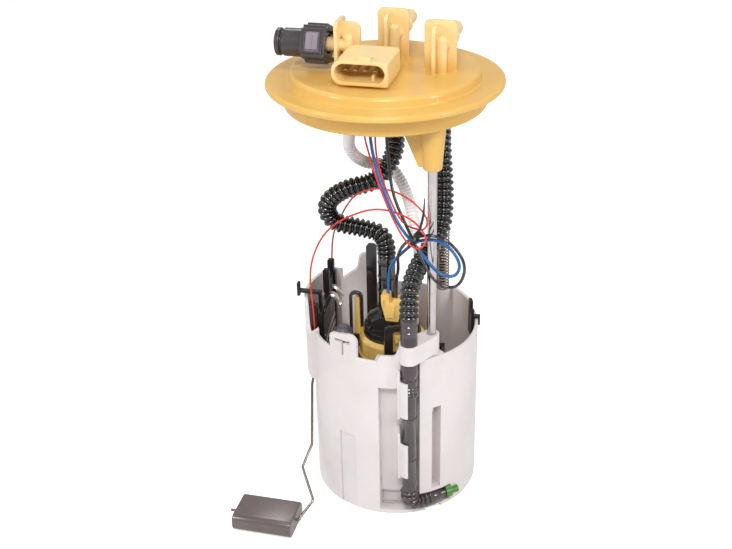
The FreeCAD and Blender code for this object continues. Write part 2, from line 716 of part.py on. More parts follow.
def seals():
    rings = []
    for i in range(sealCount):
        x = sealEnd + (i + 0.5) * sealPitch
        middle = (sealInner + sealOuter) / 2
        ring = Part.makeTorus(middle, (sealOuter - sealInner) / 2, vec(x, qcY, qcZ), vec(1, 0, 0))
        rings.append(ring)
    return Part.makeCompound(rings)


def releaseButton(side):
    # Pad with a curved leg that rides over the nipple's bead; side is -1 in front, 1 behind.
    d = bodyDepth / 2
    h = buttonHeight / 2
    near = nippleBead + running + buttonTravel + 0.1
    far = d + 0.9
    pad = prism([(near, -h, 0), (far, -h, 0.6), (far, h, 0.6), (near, h, 0)],
                lambda u, v: vec(buttonX0, qcY + side * u, qcZ + v), vec(buttonWidth, 0, 0))
    reach = buttonGap - running
    inside = min(qcY + side * near, qcY + side * (near + 0.9))
    shoulder = block(buttonX0 - reach, buttonX1 + reach, inside, inside + 0.9,
                     qcZ - h - reach, qcZ + h + reach)
    face = qcY + side * far
    rib = block(buttonX0 + 3.2, buttonX0 + 4.0, face - 0.5, face + 0.5,
                qcZ - h + 1.5, qcZ + h - 1.5)
    return turnCoupling(fuse([pad, shoulder, rib]))


# pump

capTop = 138.5
plugBase = 136.0
outletX = -3.6
outletY = -8.0
outletRadius = 3.6
ventPortX = 9.0
ventPortY = 0.5
carrierGap = 0.6
carrierWall = 2.0
ringInner = pumpRadius + carrierGap
ringLow = 99.5
ringHigh = 120.0
shaftRadius = 1.6
armatureRadius = 11.5
magnetInner = armatureRadius + 0.8
armatureLow = 48.0
armatureHigh = 92.0
impellerRadius = 14.0
impellerLow = 31.0
impellerHigh = 35.0


def pumpCan():
    # Steel shell of the pump, rolled in at both ends.
    r = pumpRadius
    return turned([(r - 3.5, pumpBottom, 0), (r, pumpBottom, 1.4), (r, pumpTop, 1.4),
                   (r - 3.5, pumpTop, 0),
                   (r - 3.5, pumpTop - 1.2, 0), (r - pumpCanWall, pumpTop - 1.2, 0),
                   (r - pumpCanWall, pumpBottom + 1.2, 0), (r - 3.5, pumpBottom + 1.2, 0)], pumpX, pumpY)


def pumpMagnets():
    # Two curved magnets that line the shell.
    outer = pumpRadius - pumpCanWall - snug
    arcs = []
    for start in (20, 200):
        arc = sector(magnetInner, outer, armatureLow - 2, armatureHigh + 2, start, start + 140)
        arc.translate(vec(pumpX, pumpY, 0))
        arcs.append(arc)
    return Part.makeCompound(arcs)


def pumpRotor():
    # Shaft, laminated core with slots, commutator and impeller.
    shaft = rod(pumpX, pumpY, impellerLow - 3, armatureHigh + 14, shaftRadius)
    core = rod(pumpX, pumpY, armatureLow, armatureHigh, armatureRadius)
    slots = []
    for i in range(8):
        slot = block(armatureRadius - 3.2, armatureRadius + 1, -0.9, 0.9, armatureLow - 1,
                     armatureHigh + 1)
        slot.rotate(vec(0, 0, 0), vec(0, 0, 1), 45 * i)
        slot.translate(vec(pumpX, pumpY, 0))
        slots.append(slot)
    commutator = rod(pumpX, pumpY, armatureHigh + 3, armatureHigh + 9, 5.0)
    return fuse([shaft, core.cut(slots), commutator])


def impeller():
    # Flat turbine wheel with a row of vane pockets on its edge.
    wheel = tube(pumpX, pumpY, impellerLow, impellerHigh, impellerRadius, shaftRadius + snug)
    pockets = []
    for i in range(16):
        pocket = block(impellerRadius - 2.4, impellerRadius + 1, -0.8, 0.8, impellerLow - 1,
                       impellerHigh + 1)
        pocket.rotate(vec(0, 0, 0), vec(0, 0, 1), 22.5 * i)
        pocket.translate(vec(pumpX, pumpY, 0))
        pockets.append(pocket)
    return wheel.cut(pockets)


def pumpInlet():
    # Inlet cover under the impeller with its suction stub.
    r = pumpRadius - pumpCanWall - snug
    cover = turned([(0, pumpBottom - 3, 0), (r - 2.6, pumpBottom - 3, 0.6), (r - 2.6, pumpBottom + 1.3, 0),
                    (r, pumpBottom + 1.3, 0), (r, impellerLow - 0.4, 0), (0, impellerLow - 0.4, 0)],
                   pumpX, pumpY)
    stub = rod(pumpX + 8, pumpY, pumpBottom - 9, pumpBottom - 2, 5)
    hole = rod(pumpX + 8, pumpY, pumpBottom - 10, impellerLow, 3.4)
    bearing = rod(pumpX, pumpY, impellerLow - 4, impellerLow, shaftRadius + running)
    return cover.fuse(stub).cut(hole).cut(bearing)


def pumpCap():
    # Black end cap: collar, stepped dome, outlet stub and side shoulder.
    r = pumpRadius
    inner = r - 3.5 - snug
    dome = turned([(0, pumpTop - 5, 0), (inner, pumpTop - 5, 0), (inner, pumpTop + 0.05, 0),
                   (r + 0.3, pumpTop + 0.05, 0), (r + 0.3, pumpTop + 17, 1.8),
                   (r - 1.6, pumpTop + 18.2, 0.5),
                   (r - 2.2, pumpTop + 22, 2.5), (9, capTop, 4), (0, capTop, 0)], pumpX, pumpY)
    lip = tube(pumpX, pumpY, ringHigh + snug, ringHigh + 1.4, r + 0.8, r - 2)
    foot = outletRadius + 2.6
    outlet = turned([(0, capTop - 6, 0), (foot, capTop - 6, 0), (foot, capTop + 1.5, 0.8),
                     (outletRadius, capTop + 2.2, 0), (outletRadius, outletTop, 0.6), (0, outletTop, 0)],
                    outletX, outletY)
    shoulder = prism([(pumpX - 1.5, pumpY - 15.5, 2), (pumpX + 9, pumpY - 15, 2),
                      (pumpX + 13, pumpY + 4, 2),
                      (pumpX + 3, pumpY + 4, 2)],
                     lambda u, v: vec(u, v, pumpTop + 12), vec(0, 0, plugBase - pumpTop - 12))
    cutout = prism([(pumpX - 14, pumpY - 22, 0), (pumpX + 2, pumpY - 22, 0), (pumpX + 2, pumpY - 11, 4),
                    (pumpX - 14, pumpY - 12, 4)],
                   lambda u, v: vec(u, v, pumpTop + 15.5), vec(0, 0, 20))
    plugSeat = block(plugX - 8, plugX + 8, plugY - 6, plugY + 3.6 + snug, plugBase, capTop + 1)
    dome = dome.cut([cutout, plugSeat])
    bearing = rod(pumpX, pumpY, pumpTop - 6, armatureHigh + 14.2, shaftRadius + running)
    passage = rod(outletX, outletY, capTop - 4, outletTop + 1, outletRadius - 1.6)
    port = turned([(0, pumpTop + 20, 0), (4, pumpTop + 20, 0), (4, capTop - 1, 0.6),
                   (ventSpigot, capTop, 0),
                   (ventSpigot, capTop + 6, 0.3), (0, capTop + 6, 0)], ventPortX, ventPortY)
    bleed = rod(ventPortX, ventPortY, capTop - 2, capTop + 7, ventSpigot * 0.5)
    return fuse([dome, lip, outlet, shoulder, port]).cut(bearing).cut(passage).cut(bleed)


outletTop = 144.5


def pumpRing():
    # Yellow holding ring round the pump, with a tongue in the hoop and a latch post.
    outer = ringInner + ringWidth
    ring = turned([(ringInner, ringLow, 0.6), (outer - 0.6, ringLow, 0.6), (outer, ringLow + 4, 0.5),
                   (outer, ringHigh - 2.4, 1.2), (ringInner + 0.6, ringHigh, 0.4),
                   (ringInner, ringHigh, 0)],
                  pumpX, pumpY)
    lip = tube(pumpX, pumpY, ringLow + 4.5, ringLow + 6.5, outer + 0.8, ringInner + 1)
    tongue = prism([(hoopX - 2.2, ringHigh - 8, 0), (hoopX + 4.6, ringHigh - 8, 0),
                    (hoopX + 4.6, ringHigh - 1, 1), (hoopX + 2.2, ringHigh + 2, 1),
                    (hoopX + 1.6, hoopTop - 5, 1), (hoopX - 1.4, hoopTop - 5, 1)],
                   lambda u, v: vec(u, hoopY + 1.6, v), vec(0, 1.8, 0))
    post = block(ringInner + 0.6, ringInner + 3.0, -3, 3, ringHigh - 5, 160)
    hook = prism([(ringInner + 0.6, 148, 0), (ringInner - 2.2, 154, 0.5), (ringInner - 0.4, 161, 0.5),
                  (ringInner + 3.0, 161, 1), (ringInner + 3.0, 148, 0)],
                 lambda u, v: vec(u, -3, v), vec(0, 6, 0))
    post = post.fuse(hook)
    post.rotate(vec(0, 0, 0), vec(0, 0, 1), -33)
    snap = block(ringInner + 0.8, ringInner + 2.6, -5.4, 0.6, ringLow + 3, 131)
    tip = block(ringInner + 2.4, hoopReach - 0.4, -4.8, 0.2, 125, 130)
    snap = snap.fuse(tip)
    snap.rotate(vec(0, 0, 0), vec(0, 0, 1), strapTurn)
    extras = tongue.fuse([post, snap])
    extras.translate(vec(pumpX, pumpY, 0))
    return fuse([ring, lip, extras])


hoopX = -25.2
hoopY = 0.0
hoopTop = 148.0
strapTurn = -62.0
carrierInner = pumpRadius + carrierGap
carrierOuter = carrierInner + carrierWall
carrierLow = 9.0
carrierHigh = 99.5


def pumpCarrier():
    # Black basket that holds the pump, with ribs, a hoop, a front strap and a tall post.
    sleeve = turned([(8, carrierLow, 0), (carrierOuter, carrierLow, 1), (carrierOuter, carrierHigh, 0),
                     (carrierInner, carrierHigh, 0), (carrierInner, carrierLow + 2.5, 0),
                     (8, carrierLow + 2.5, 0)], pumpX, pumpY)
    windows = []
    for i in range(6):
        window = block(carrierInner - 3, carrierOuter + 1, -5, 5, 24, 84)
        window.rotate(vec(0, 0, 0), vec(0, 0, 1), 60 * i + 15)
        window.translate(vec(pumpX, pumpY, 0))
        windows.append(window)
    band = tube(pumpX, pumpY, carrierHigh - 6, carrierHigh, carrierOuter + 1.2, carrierInner + 1)
    hoop = prism([(hoopX - 4.8, carrierHigh - 6, 0), (hoopX + 4.8, carrierHigh - 6, 0),
                  (hoopX + 4.8, hoopTop, 4.2), (hoopX - 4.8, hoopTop, 4.2)],
                 lambda u, v: vec(u, hoopY - 1, v), vec(0, 2.0, 0))
    eye = prism([(hoopX - 2.9, ringHigh - 6, 0.5), (hoopX + 2.9, ringHigh - 6, 0.5),
                 (hoopX + 2.9, hoopTop - 2.2, 2.8), (hoopX - 2.9, hoopTop - 2.2, 2.8)],
                lambda u, v: vec(u, hoopY - 2, v), vec(0, 4, 0))
    hoop = hoop.cut(eye).cut(rod(0, 0, carrierHigh, ringHigh + 1.0, ringInner + ringWidth + 1.2))
    strap = prism([(-12, carrierHigh - 5, 0), (12, carrierHigh - 5, 0), (12, 138.5, 2.5),
                   (-12, 138.5, 2.5)],
                  lambda u, v: vec(hoopReach - 2, u, v), vec(2.0, 0, 0))
    mouth = prism([(-6.2, 118, 1.0), (9, 118, 1.0), (9, 134, 1.2), (-6.2, 134, 1.2)],
                  lambda u, v: vec(hoopReach - 3, u, v), vec(4, 0, 0))
    strap = strap.cut(mouth)
    strap.rotate(vec(0, 0, 0), vec(0, 0, 1), strapTurn)
    bridge = tube(0, 0, carrierHigh - 6, carrierHigh - 1, hoopReach, carrierOuter - 0.5)
    keep = block(-40, -12, -1, 1, carrierHigh - 8, carrierHigh)
    keepFront = block(12, 40, -11, 11, carrierHigh - 8, carrierHigh)
    keepFront.rotate(vec(0, 0, 0), vec(0, 0, 1), strapTurn)
    bridge = bridge.common(keep.fuse(keepFront))
    extras = hoop.fuse([strap, bridge])
    extras.translate(vec(pumpX, pumpY, 0))
    postX = -18.8
    post = prism([(-3.6, 60, 0), (3.6, 60, 0), (3.6, 175.5, 3), (-3.6, 175.5, 3)],
                 lambda u, v: vec(postX + u, postY, v), vec(0, 2.4, 0))
    foot = block(postX - 3.6, postX + 3.6, postY - 8, postY + 2.4, 86, 97)
    foot = foot.cut(rod(pumpX, pumpY, 50, 120, carrierInner + 0.5))
    legs = []
    for angle in (15, 135, 255):
        leg = block(10, carrierOuter - 0.2, -3, 3, floorTop, carrierLow + 2)
        leg.rotate(vec(0, 0, 0), vec(0, 0, 1), angle)
        leg.translate(vec(pumpX, pumpY, 0))
        legs.append(leg)
    return fuse([sleeve.cut(windows), band, extras, post, foot] + legs)


hoopReach = carrierOuter + 4.4
postY = 9.0
plugX = 2.8
plugY = -20.0
plugPitch = 4.4
plugBottom = 146.0        # where the two power wires end inside the plug


def pumpPlug():
    # Yellow two-way plug on the pump's shoulder: flared top, notch, ribs and a latch finger.
    z0 = plugBase
    body = prism([(-3.8, z0, 0.5), (4.8, z0, 0.5), (6.8, z0 + 11, 1), (6.8, z0 + 16.5, 1),
                  (1.6, z0 + 16.5, 0.5), (0.8, z0 + 14, 0.5), (-1.0, z0 + 14, 0.5), (-1.6, z0 + 19.5, 0.8),
                  (-6.8, z0 + 20, 1), (-6.8, z0 + 13, 1.5)],
                 lambda u, v: vec(plugX + u, plugY - 3.6, v), vec(0, 7.2, 0))
    latch = prism([(-2.6, z0 + 3, 0.4), (2.2, z0 + 3, 0.4), (3.0, z0 + 13, 0.6), (-3.4, z0 + 13, 0.6)],
                  lambda u, v: vec(plugX + u, plugY - 5.0, v), vec(0, 1.6, 0))
    ribs = [block(plugX + s - 0.6, plugX + s + 0.6, plugY - 4.6, plugY - 3.4, z0 + 12, z0 + 16)
            for s in (-5.4, 5.2)]
    ports = [rod(plugX + s, plugY, plugBottom - 3, z0 + 30, powerWireDia / 2 + 0.03)
             for s in (-plugPitch / 2 - 0.6, plugPitch / 2 + 0.6)]
    return fuse([body, latch] + ribs).cut(ports[0]).cut(ports[1])


def strainer():
    # Flat round filter pad that the pump draws from.
    x = pumpX + 8
    top = carrierLow - 1.0
    pad = turned([(0, floorTop + 0.6, 0), (7.2, floorTop + 0.6, 1.2), (7.2, top, 1.0), (0, top, 0)],
                 pumpX, pumpY)
    neck = rod(pumpX, pumpY, carrierLow - 1.2, pumpBottom - 10.2, 4.4)
    arm = block(pumpX - 3, x + 3, pumpY - 3, pumpY + 3, pumpBottom - 13.6, pumpBottom - 9.1)
    return fuse([pad, neck, arm])


def regulator():
    # Dark round-topped pressure regulator clipped at the left of the pump.
    return turned([(0, 92, 0), (6.0, 92, 0.8), (6.0, 108, 0), (7.2, 109, 0.4), (7.2, 125, 3.4),
                   (3.6, 129.5, 3), (0, 129.5, 0)], regulatorX, regulatorY)


regulatorX = -30.6
regulatorY = -25.0


regulatorSeatLow = 84.0
regulatorSeatHigh = 100.0


def regulatorSeat():
    # White bracket from the reservoir wall under the regulator.
    low = regulatorSeatLow
    high = regulatorSeatHigh
    cup = turned([(0, low, 0), (8.6, low, 1), (8.6, high, 0), (6.0 + snug, high, 0),
                  (6.0 + snug, low + 8 - snug, 0), (0, low + 8 - snug, 0)], regulatorX, regulatorY)
    reach = potInner + 0.6 - hypot(regulatorX, regulatorY)
    web = block(0, reach, -2.0, 2.0, low, high - 2)
    web.rotate(vec(0, 0, 0), vec(0, 0, 1), degrees(atan2(regulatorY, regulatorX)))
    web.translate(vec(regulatorX, regulatorY, 0))
    web = web.cut(rod(regulatorX, regulatorY, 80, 130, 7.0)).common(rod(0, 0, 0, 200, potInner + 0.6))
    return cup.fuse(web)


# inlet valve and jet

valveStem = 2.0
valveX = -22.0
valveY = 22.0
valveLift = 1.8


def inletValve():
    # Rubber-faced disc that lifts off the ports in the floor.
    head = footHeight - 0.3 - valveLift
    return turned([(0, head - 0.5, 0), (3.2, head - 0.5, 0.2), (3.2, head, 0), (valveStem, head, 0),
                   (valveStem, floorTop + 0.05, 0), (8.5, floorTop + 0.05, 0.3),
                   (8.0, floorTop + 1.6, 0.5),
                   (0, floorTop + 2.4, 0)], valveX, valveY)


elbowEndX = 43.0
elbowEndY = -35.5


def nozzleFrame():
    # Start and direction of the low run of the return pipe.
    run = vec(elbowEndX - pipeX, elbowEndY - pipeY, 0)
    return vec(elbowEndX, elbowEndY, elbowHeight), run.normalize()


def nozzleRod(behind, ahead, r):
    start, run = nozzleFrame()
    return Part.makeCylinder(r, ahead - behind, start + run * behind, run)


def nozzleFitting():
    # Green jet fitting in the end wall of the undercut.
    start, run = nozzleFrame()
    head = Part.makeCylinder(4.2, 4.4, start + run * 0.05, run)
    lobe = Part.makeCylinder(2.6, 4.4, start + run * 0.05 + vec(0, 0, 3.2), run)
    tail = Part.makeCylinder(2.6, 10, start + run * 0.05, run)
    bore = Part.makeCylinder(1.2, 20, start - run * 2, run)
    wall = sector(undercutFloor - 30, potRadius + 6, 0, 30, undercutEnd - 0.1, undercutEnd + 40)
    return head.fuse(lobe).cut(wall).fuse(tail).cut(bore)


# level sender

bearingRadius = 5.0
senderX0 = -49.6
senderX1 = -46.2
senderY0 = -24.0
senderY1 = 10.0
senderLow = 64.0
senderHigh = 148.0
railWidth = 3.4
nearEndX = -49.6
nearEndY = senderY0 - railWidth - 0.8
nearEndZ = 116.0
farEndX = -47.9
farEndY = senderY1 + 2.2
farEndZ = 154.0


def senderFrame():
    # Black carrier of the level sender: plate, rails, fork, latch and bearing.
    plate = prism([(senderY0 + 6, senderLow, 2), (senderY1 + 3, senderLow, 2), (senderY1 + 3, 96, 2),
                   (senderY1, 100, 2), (senderY1, senderHigh - 6, 1), (senderY0, senderHigh - 12, 1),
                   (senderY0, 100, 2)],
                  lambda u, v: vec(senderX0, u, v), vec(senderX1 - senderX0, 0, 0))
    window = prism([(senderY0 + 8, 112, 1), (senderY1 - 8, 112, 1), (senderY1 - 8, senderHigh - 14, 1),
                    (senderY0 + 8, senderHigh - 14, 1)], lambda u, v: vec(senderX0 - 1, u, v),
                    vec(6, 0, 0))
    front = block(senderX0 - 2.2, senderX0 + 1.6, senderY0 - railWidth, senderY0 + 0.5, 99, senderHigh - 4)
    wedge = block(senderX0 - 6, senderX0 + 0.4, senderY0 - railWidth - 1, senderY0 + 2, 90, 160)
    front = front.cut(wedge.cut(rod(0, 0, 80, 170, bulgeOuter - potWall - 0.6)))
    back = block(senderX0 - 3.2, senderX1 + 1.2, senderY1 - 0.5, senderY1 + railWidth, 99, senderHigh + 3)
    prongs = []
    for y, z in ((senderY1 - 0.5, senderHigh + 12), (senderY1 - 12, senderHigh + 10)):
        prongs.append(prism([(senderX0 - 1, senderHigh - 8, 0), (senderX1, senderHigh - 8, 0),
                             (senderX1, z, 1.2), (senderX0 - 1, z, 1.2)],
                            lambda u, v: vec(u, y, v), vec(0, 3.2, 0)))
    yoke = block(senderX0 - 1, senderX1, senderY1 - 12, senderY1 + 2, senderHigh - 8, senderHigh + 2)
    latch = prism([(-64.4, 144.5, 0.4), (-62.6, 144.5, 0.4), (-62.6, 147.2, 0), (senderX0 + 0.2, 147.2, 0),
                   (senderX0 + 0.2, 128, 0), (senderX1 - 1, 128, 0), (senderX1 - 1, 149.4, 0.4),
                   (-62.6, 149.4, 0), (-62.6, 154.5, 0.4), (-64.4, 154.5, 0.4)],
                  lambda u, v: vec(u, senderY0 + 6, v), vec(0, 3.0, 0))
    bearing = rodX(-potRadius - 0.6, senderX0 + 1, pivotY, pivotZ, bearingRadius)
    hub = rodX(senderX0 - 1, senderX1 + 0.6, pivotY, pivotZ, bearingRadius + 1.5)
    hole = rodX(-potRadius - 2, senderX1 + 2, pivotY, pivotZ, pivotPin + running)
    sockets = [rod(nearEndX, nearEndY, 108, nearEndZ + 2, 1.3),
               rod(farEndX, farEndY, 140, farEndZ + 2, 1.5)]
    body = fuse([plate.cut(window), front, back, yoke, latch, bearing, hub] + prongs + sockets)
    body = body.cut(rod(nearEndX, nearEndY, nearEndZ - 3, nearEndZ + 3, signalWireDia / 2 + 0.04))
    body = body.cut(rod(farEndX, farEndY, farEndZ - 3, senderHigh + 14, signalWireDia / 2 + 0.04))
    return body.cut(hole)


def senderCard():
    # Ceramic resistor card on the inner face of the carrier.
    outline = [(senderY0 + 4, 102, 0.5), (senderY1 - 3, 102, 0.5), (senderY1 - 3, 138, 0.5),
               (senderY0 + 4, 132, 0.5)]
    card = prism(outline, lambda u, v: vec(senderX1 + snug, u, v), vec(0.8, 0, 0))
    tracks = []
    for radius in (30.0, 36.0, 42.0):
        track = rodX(senderX1 + snug + 0.7, senderX1 + snug + 0.95, pivotY, pivotZ, radius + 1.0)
        track = track.cut(rodX(senderX1, senderX1 + 2, pivotY, pivotZ, radius - 1.0))
        edge = [(u * 0.9 - 0.4, 104 + (v - 102) * 0.86, 0) for u, v, r in outline]
        tracks.append(track.common(prism(edge, lambda u, v: vec(senderX1, u, v), vec(3, 0, 0))))
    return fuse([card] + tracks)


def senderContacts():
    # Two bent spring terminals that stand out from the top of the card.
    fingers = []
    for y, z, reach in ((senderY1 - 9, 140, 10), (senderY1 - 15, 136, 9)):
        x = senderX1
        fingers.append(prism([(x + 0.05, z, 0), (x + 0.05, z + 4, 0), (x + 3, z + 4.4, 0.6),
                              (x + reach, z - 1.5, 0.4), (x + reach - 1, z - 3.4, 0.4),
                              (x + 3, z + 2.4, 0.6)],
                             lambda u, v: vec(u, y, v), vec(0, 2.4, 0)))
    return Part.makeCompound(fingers)


def armHolder():
    # Pivot pin and clip that carry the float arm outside the wall.
    plate = prism([(-7, -5.5, 3), (7, -5.5, 3), (7, 5.5, 3), (-7, 5.5, 3)],
                  lambda u, v: vec(armX0, pivotY + u, pivotZ + v), vec(2.6, 0, 0))
    pin = rodX(armX0, senderX1 + 6.6, pivotY, pivotZ, pivotPin)
    return plate.fuse(pin)


armX0 = -potRadius - 0.6 - 0.5 - 2.6
wiperX = senderX1 + 1.0


def contactWiper():
    # Sprung wiper on the pin, its tips sweeping the card's tracks.
    hub = rodX(wiperX + 2.2, wiperX + 5.2, pivotY, pivotZ, 4.6)
    arm = prism([(-2.6, 0, 0), (2.6, 0, 0), (1.6, 44, 0.6), (-1.6, 44, 0.6)],
                lambda u, v: vec(wiperX + 2.4, pivotY + u, pivotZ + v), vec(0.5, 0, 0))
    tips = [rodX(wiperX + 0.9, wiperX + 2.4, pivotY, pivotZ + r, 0.7) for r in (30, 36, 42)]
    whole = fuse([hub, arm] + tips)
    whole = whole.cut(rodX(wiperX, wiperX + 9, pivotY, pivotZ, pivotPin + 0.01))
    whole.rotate(vec(0, pivotY, pivotZ), vec(1, 0, 0), wiperRest)
    return whole


wiperRest = 36.0
armHubX = armX0 - armWire - 0.05


def armRoute():
    # Bent float arm: pivot clip, joggles past the reservoir, axle through the float.
    return [(armHubX, pivotY + 5.0, pivotZ + 3.7), (armHubX, pivotY - 6.0, pivotZ - 4.5),
            (-potRadius - 3.6, -6.4, 65.6), (5.8 - potRadius, -41.5, 39.5),
            (2.6 - potRadius, -55.5, 29.2), (15.4 - potRadius, -73.6, 16.2),
            (floatX1 + 2.4, floatY + 2.0, floatZ + 1.5), (floatX1 + 1.9, floatY, floatZ),
            (floatX1 - floatLength - 5.5, floatY, floatZ)]


floatX1 = 6.4 - potRadius
floatY = -85.2
floatZ = 6.8


def bentWire(points, r, bend):
    # Round wire whose corners are bent to one radius where the runs allow it.
    places = [vec(*p) for p in points]
    edges = []
    at = places[0]
    for i in range(1, len(places) - 1):
        here = places[i]
        back = places[i - 1] - here
        ahead = places[i + 1] - here
        half = (180 - degrees(back.getAngle(ahead))) / 2
        reach = min(bend * tan(radians(half)), 0.45 * back.Length, 0.45 * ahead.Length)
        radius = reach / tan(radians(half))
        back = back.normalize()
        ahead = ahead.normalize()
        middle = here + (back + ahead).normalize() * (radius / cos(radians(half)) - radius)
        edges.append(Part.LineSegment(at, here + back * reach).toShape())
        edges.append(Part.Arc(here + back * reach, middle, here + ahead * reach).toShape())
        at = here + ahead * reach
    edges.append(Part.LineSegment(at, places[-1]).toShape())
    wire = Part.Wire(edges)
    section = Part.Wire(Part.makeCircle(r, places[0], places[1] - places[0]))
    return wire.makePipeShell([section], True, False)


def floatArm():
    return bentWire(armRoute(), armWire, 3.0)


def levelFloat():
    # Closed-cell block with rounded long edges, bored for the arm.
    y0 = floatY - floatDepth / 2
    y1 = floatY + floatDepth / 2
    z0 = floatZ - floatThickness / 2
    z1 = floatZ + floatThickness / 2
    body = prism([(y0, z0, 4.6), (y1, z0, 4.6), (y1, z1, 4.6), (y0, z1, 4.6)],
                 lambda u, v: vec(floatX1 - floatLength, u, v), vec(floatLength, 0, 0))
    bore = rodX(floatX1 - floatLength - 1, floatX1 + 1, floatY, floatZ, armWire + running)
    return body.cut(bore)


def floatKeeper():
    # Push-on washer that keeps the float on the arm's end.
    x = floatX1 - floatLength - 1.6
    return rodX(x, x + 0.8, floatY, floatZ, 2.2).cut(rodX(x - 1, x + 2, floatY, floatZ, armWire + 0.01))


def holderClips():
    # Two hooks on the pivot plate that grip the arm.
    start = vec(*armRoute()[0])
    run = (vec(*armRoute()[1]) - start).normalize()
    hooks = []
    for along in (2.6, 10.0):
        centre = start + run * along
        outer = Part.makeCylinder(armWire + 1.1, 2.0, centre, run)
        inner = Part.makeCylinder(armWire + 0.02, 4.0, centre - run, run)
        hooks.append(outer.cut(inner))
    return hooks


# lines and wires

cuffTop = 158.0


def returnPipe():
    # Stiff lower return line: ribbed cuff, clipped straight, elbow and end sleeve.
    start, run = nozzleFrame()
    straight = rod(pipeX, pipeY, elbowHeight + 12, cuffTop, pipeRadius)
    neck = rod(pipeX, pipeY, cuffTop - 1, cuffTop + 6, spigotRadius)
    grooves = [tube(pipeX, pipeY, z - 0.5, z + 0.5, pipeRadius + 1, pipeRadius - 0.4)
               for z in (28.0, 52.0, 76.0, 95.0, 104.0, 113.0, 144.0, 148.0, 152.0)]
    route = [(pipeX, pipeY, elbowHeight + 13.0), (pipeX, pipeY, elbowHeight),
             (elbowEndX, elbowEndY, elbowHeight)]
    shorter = vec(*route[2]) - run * 9
    route[2] = (shorter.x, shorter.y, shorter.z)
    bend = bentWire(route, elbowRadius, 8.0)
    sleeve = Part.makeCylinder(4.6, 6.0, start - run * 10, run)
    tip = Part.makeCylinder(2.9, 5.9, start - run * 5.9, run)
    return fuse([straight, neck, bend, sleeve, tip]).cut(grooves)


wireX = -3.0
wireY = -32.0
wireTop = 288.0


def feedRoute():
    x, y = riserPlace(*towers[0])
    return [(x, y, hoseTop), (x, y, 262.0), (1.5, -1.0, 246.5), (-9.0, -12.0, 231.0),
            (-28.0, -15.0, 227.0),
            (-43.5, -14.0, 214.5), (-40.0, -12.0, 199.5), (-20.0, -10.0, 197.0),
            (outletX, outletY, 192.5), (outletX, outletY, 166.0), (outletX, outletY, capTop + 2.4)]


def returnRoute():
    x, y = riserPlace(*towers[1])
    return [(x, y, hoseTop), (x, y, 266.0), (x + 2, y - 3, 246.0), (36.0, -12.0, 226.0),
            (36.0, -17.5, 204.0), (26.0, -25.5, 190.0), (pipeX - 0.2, -44.0, 180.0),
            (pipeX, pipeY, 172.0), (pipeX, pipeY, cuffTop + hoseFit)]


def ventRoute():
    x, y = riserPlace(*towers[2])
    return [(x, y, hoseTop), (x, y, 266.0), (x - 3.0, y + 3.0, 250.0), (-20.0, 5.0, 236.0),
            (-5.0, 9.0, 236.0), (6.0, 8.0, 220.0), (12.5, 4.0, 198.0), (17.0, 3.0, 178.0),
            (ventPortX + 6, ventPortY + 2, 160.0), (ventPortX, ventPortY, 153.0),
            (ventPortX, ventPortY, capTop + 0.02)]


def blackRoute():
    x = plugX + plugPitch / 2 + 0.6
    y = wireY
    return [(wireX + 5.9, y, wireTop), (wireX + 5.9, y, 274.0), (wireX + 8.2, y - 3, 254.0),
            (8.6, -40.0, 236.0), (18.0, -45.0, 219.0), (28.5, -50.8, 201.0), (38.0, -52.0, 183.5),
            (53.0, -52.0, 181.0), (58.5, -51.0, 199.5), (43.0, -50.0, 216.5), (22.5, -43.0, 211.0),
            (10.5, -36.5, 196.0), (9.4, -28.5, 178.0), (x, plugY, 166.0), (x, plugY, plugBottom)]


def blueRoute():
    x = plugX - plugPitch / 2 - 0.6
    y = wireY
    return [(wireX - 4.8, y, wireTop), (wireX - 4.8, y, 275.0), (wireX - 1.0, y - 4, 256.0),
            (4.4, -43.5, 238.0), (14.5, -48.6, 219.0), (26.0, -44.8, 203.0), (38.5, -46.5, 187.5),
            (50.5, -48.0, 187.0), (54.0, -48.0, 198.0), (42.0, -47.0, 212.0), (24.5, -40.0, 207.0),
            (14.5, -33.5, 195.0), (5.4, -25.5, 183.0), (x, plugY, 170.0), (x, plugY, plugBottom)]


def nearRoute():
    y = wireY
    return [(wireX - 9.2, y, wireTop), (wireX - 9.2, y, 276.0), (wireX - 6.0, y - 5, 258.0),
            (2.4, -46.5, 240.0), (14.0, -52.3, 219.5), (22.5, -54.8, 209.5), (30.0, -54.0, 207.5),
            (33.5, -51.0, 214.5), (22.0, -46.7, 225.0), (0.0, -43.0, 228.5), (-22.0, -38.0, 217.5),
            (-38.5, -33.6, 203.0), (-48.5, -31.6, 182.0), (-51.0, -30.6, 162.0),
            (nearEndX, nearEndY, 146.0), (nearEndX, nearEndY, nearEndZ)]


def farRoute():
    y = wireY
    return [(wireX - 1.1, y, wireTop), (wireX - 1.1, y, 276.0), (wireX + 2.0, y - 1.5, 258.0),
            (6.4, -36.0, 241.0), (15.0, -41.5, 224.0), (22.5, -42.5, 215.5), (29.5, -41.5, 214.5),
            (31.5, -39.5, 222.0), (19.0, -36.0, 233.0), (0.0, -31.0, 237.0), (-18.5, -26.0, 229.0),
            (-29.5, -15.0, 212.5), (-38.0, 1.5, 196.0), (farEndX, farEndY, 176.0),
            (farEndX, farEndY, farEndZ)]


def wireTie():
    # Band that gathers the wires at the foot of their first bend.
    middle = vec(24.2, -46.5, 209.8)
    axis = vec(0.75, -0.25, -0.5).normalize()
    start = middle - axis * (tieWidth / 2)
    band = Part.makeCylinder(tieRadius + tieThickness, tieWidth, start, axis)
    return band.cut(Part.makeCylinder(tieRadius, tieWidth + 2, start - axis, axis))


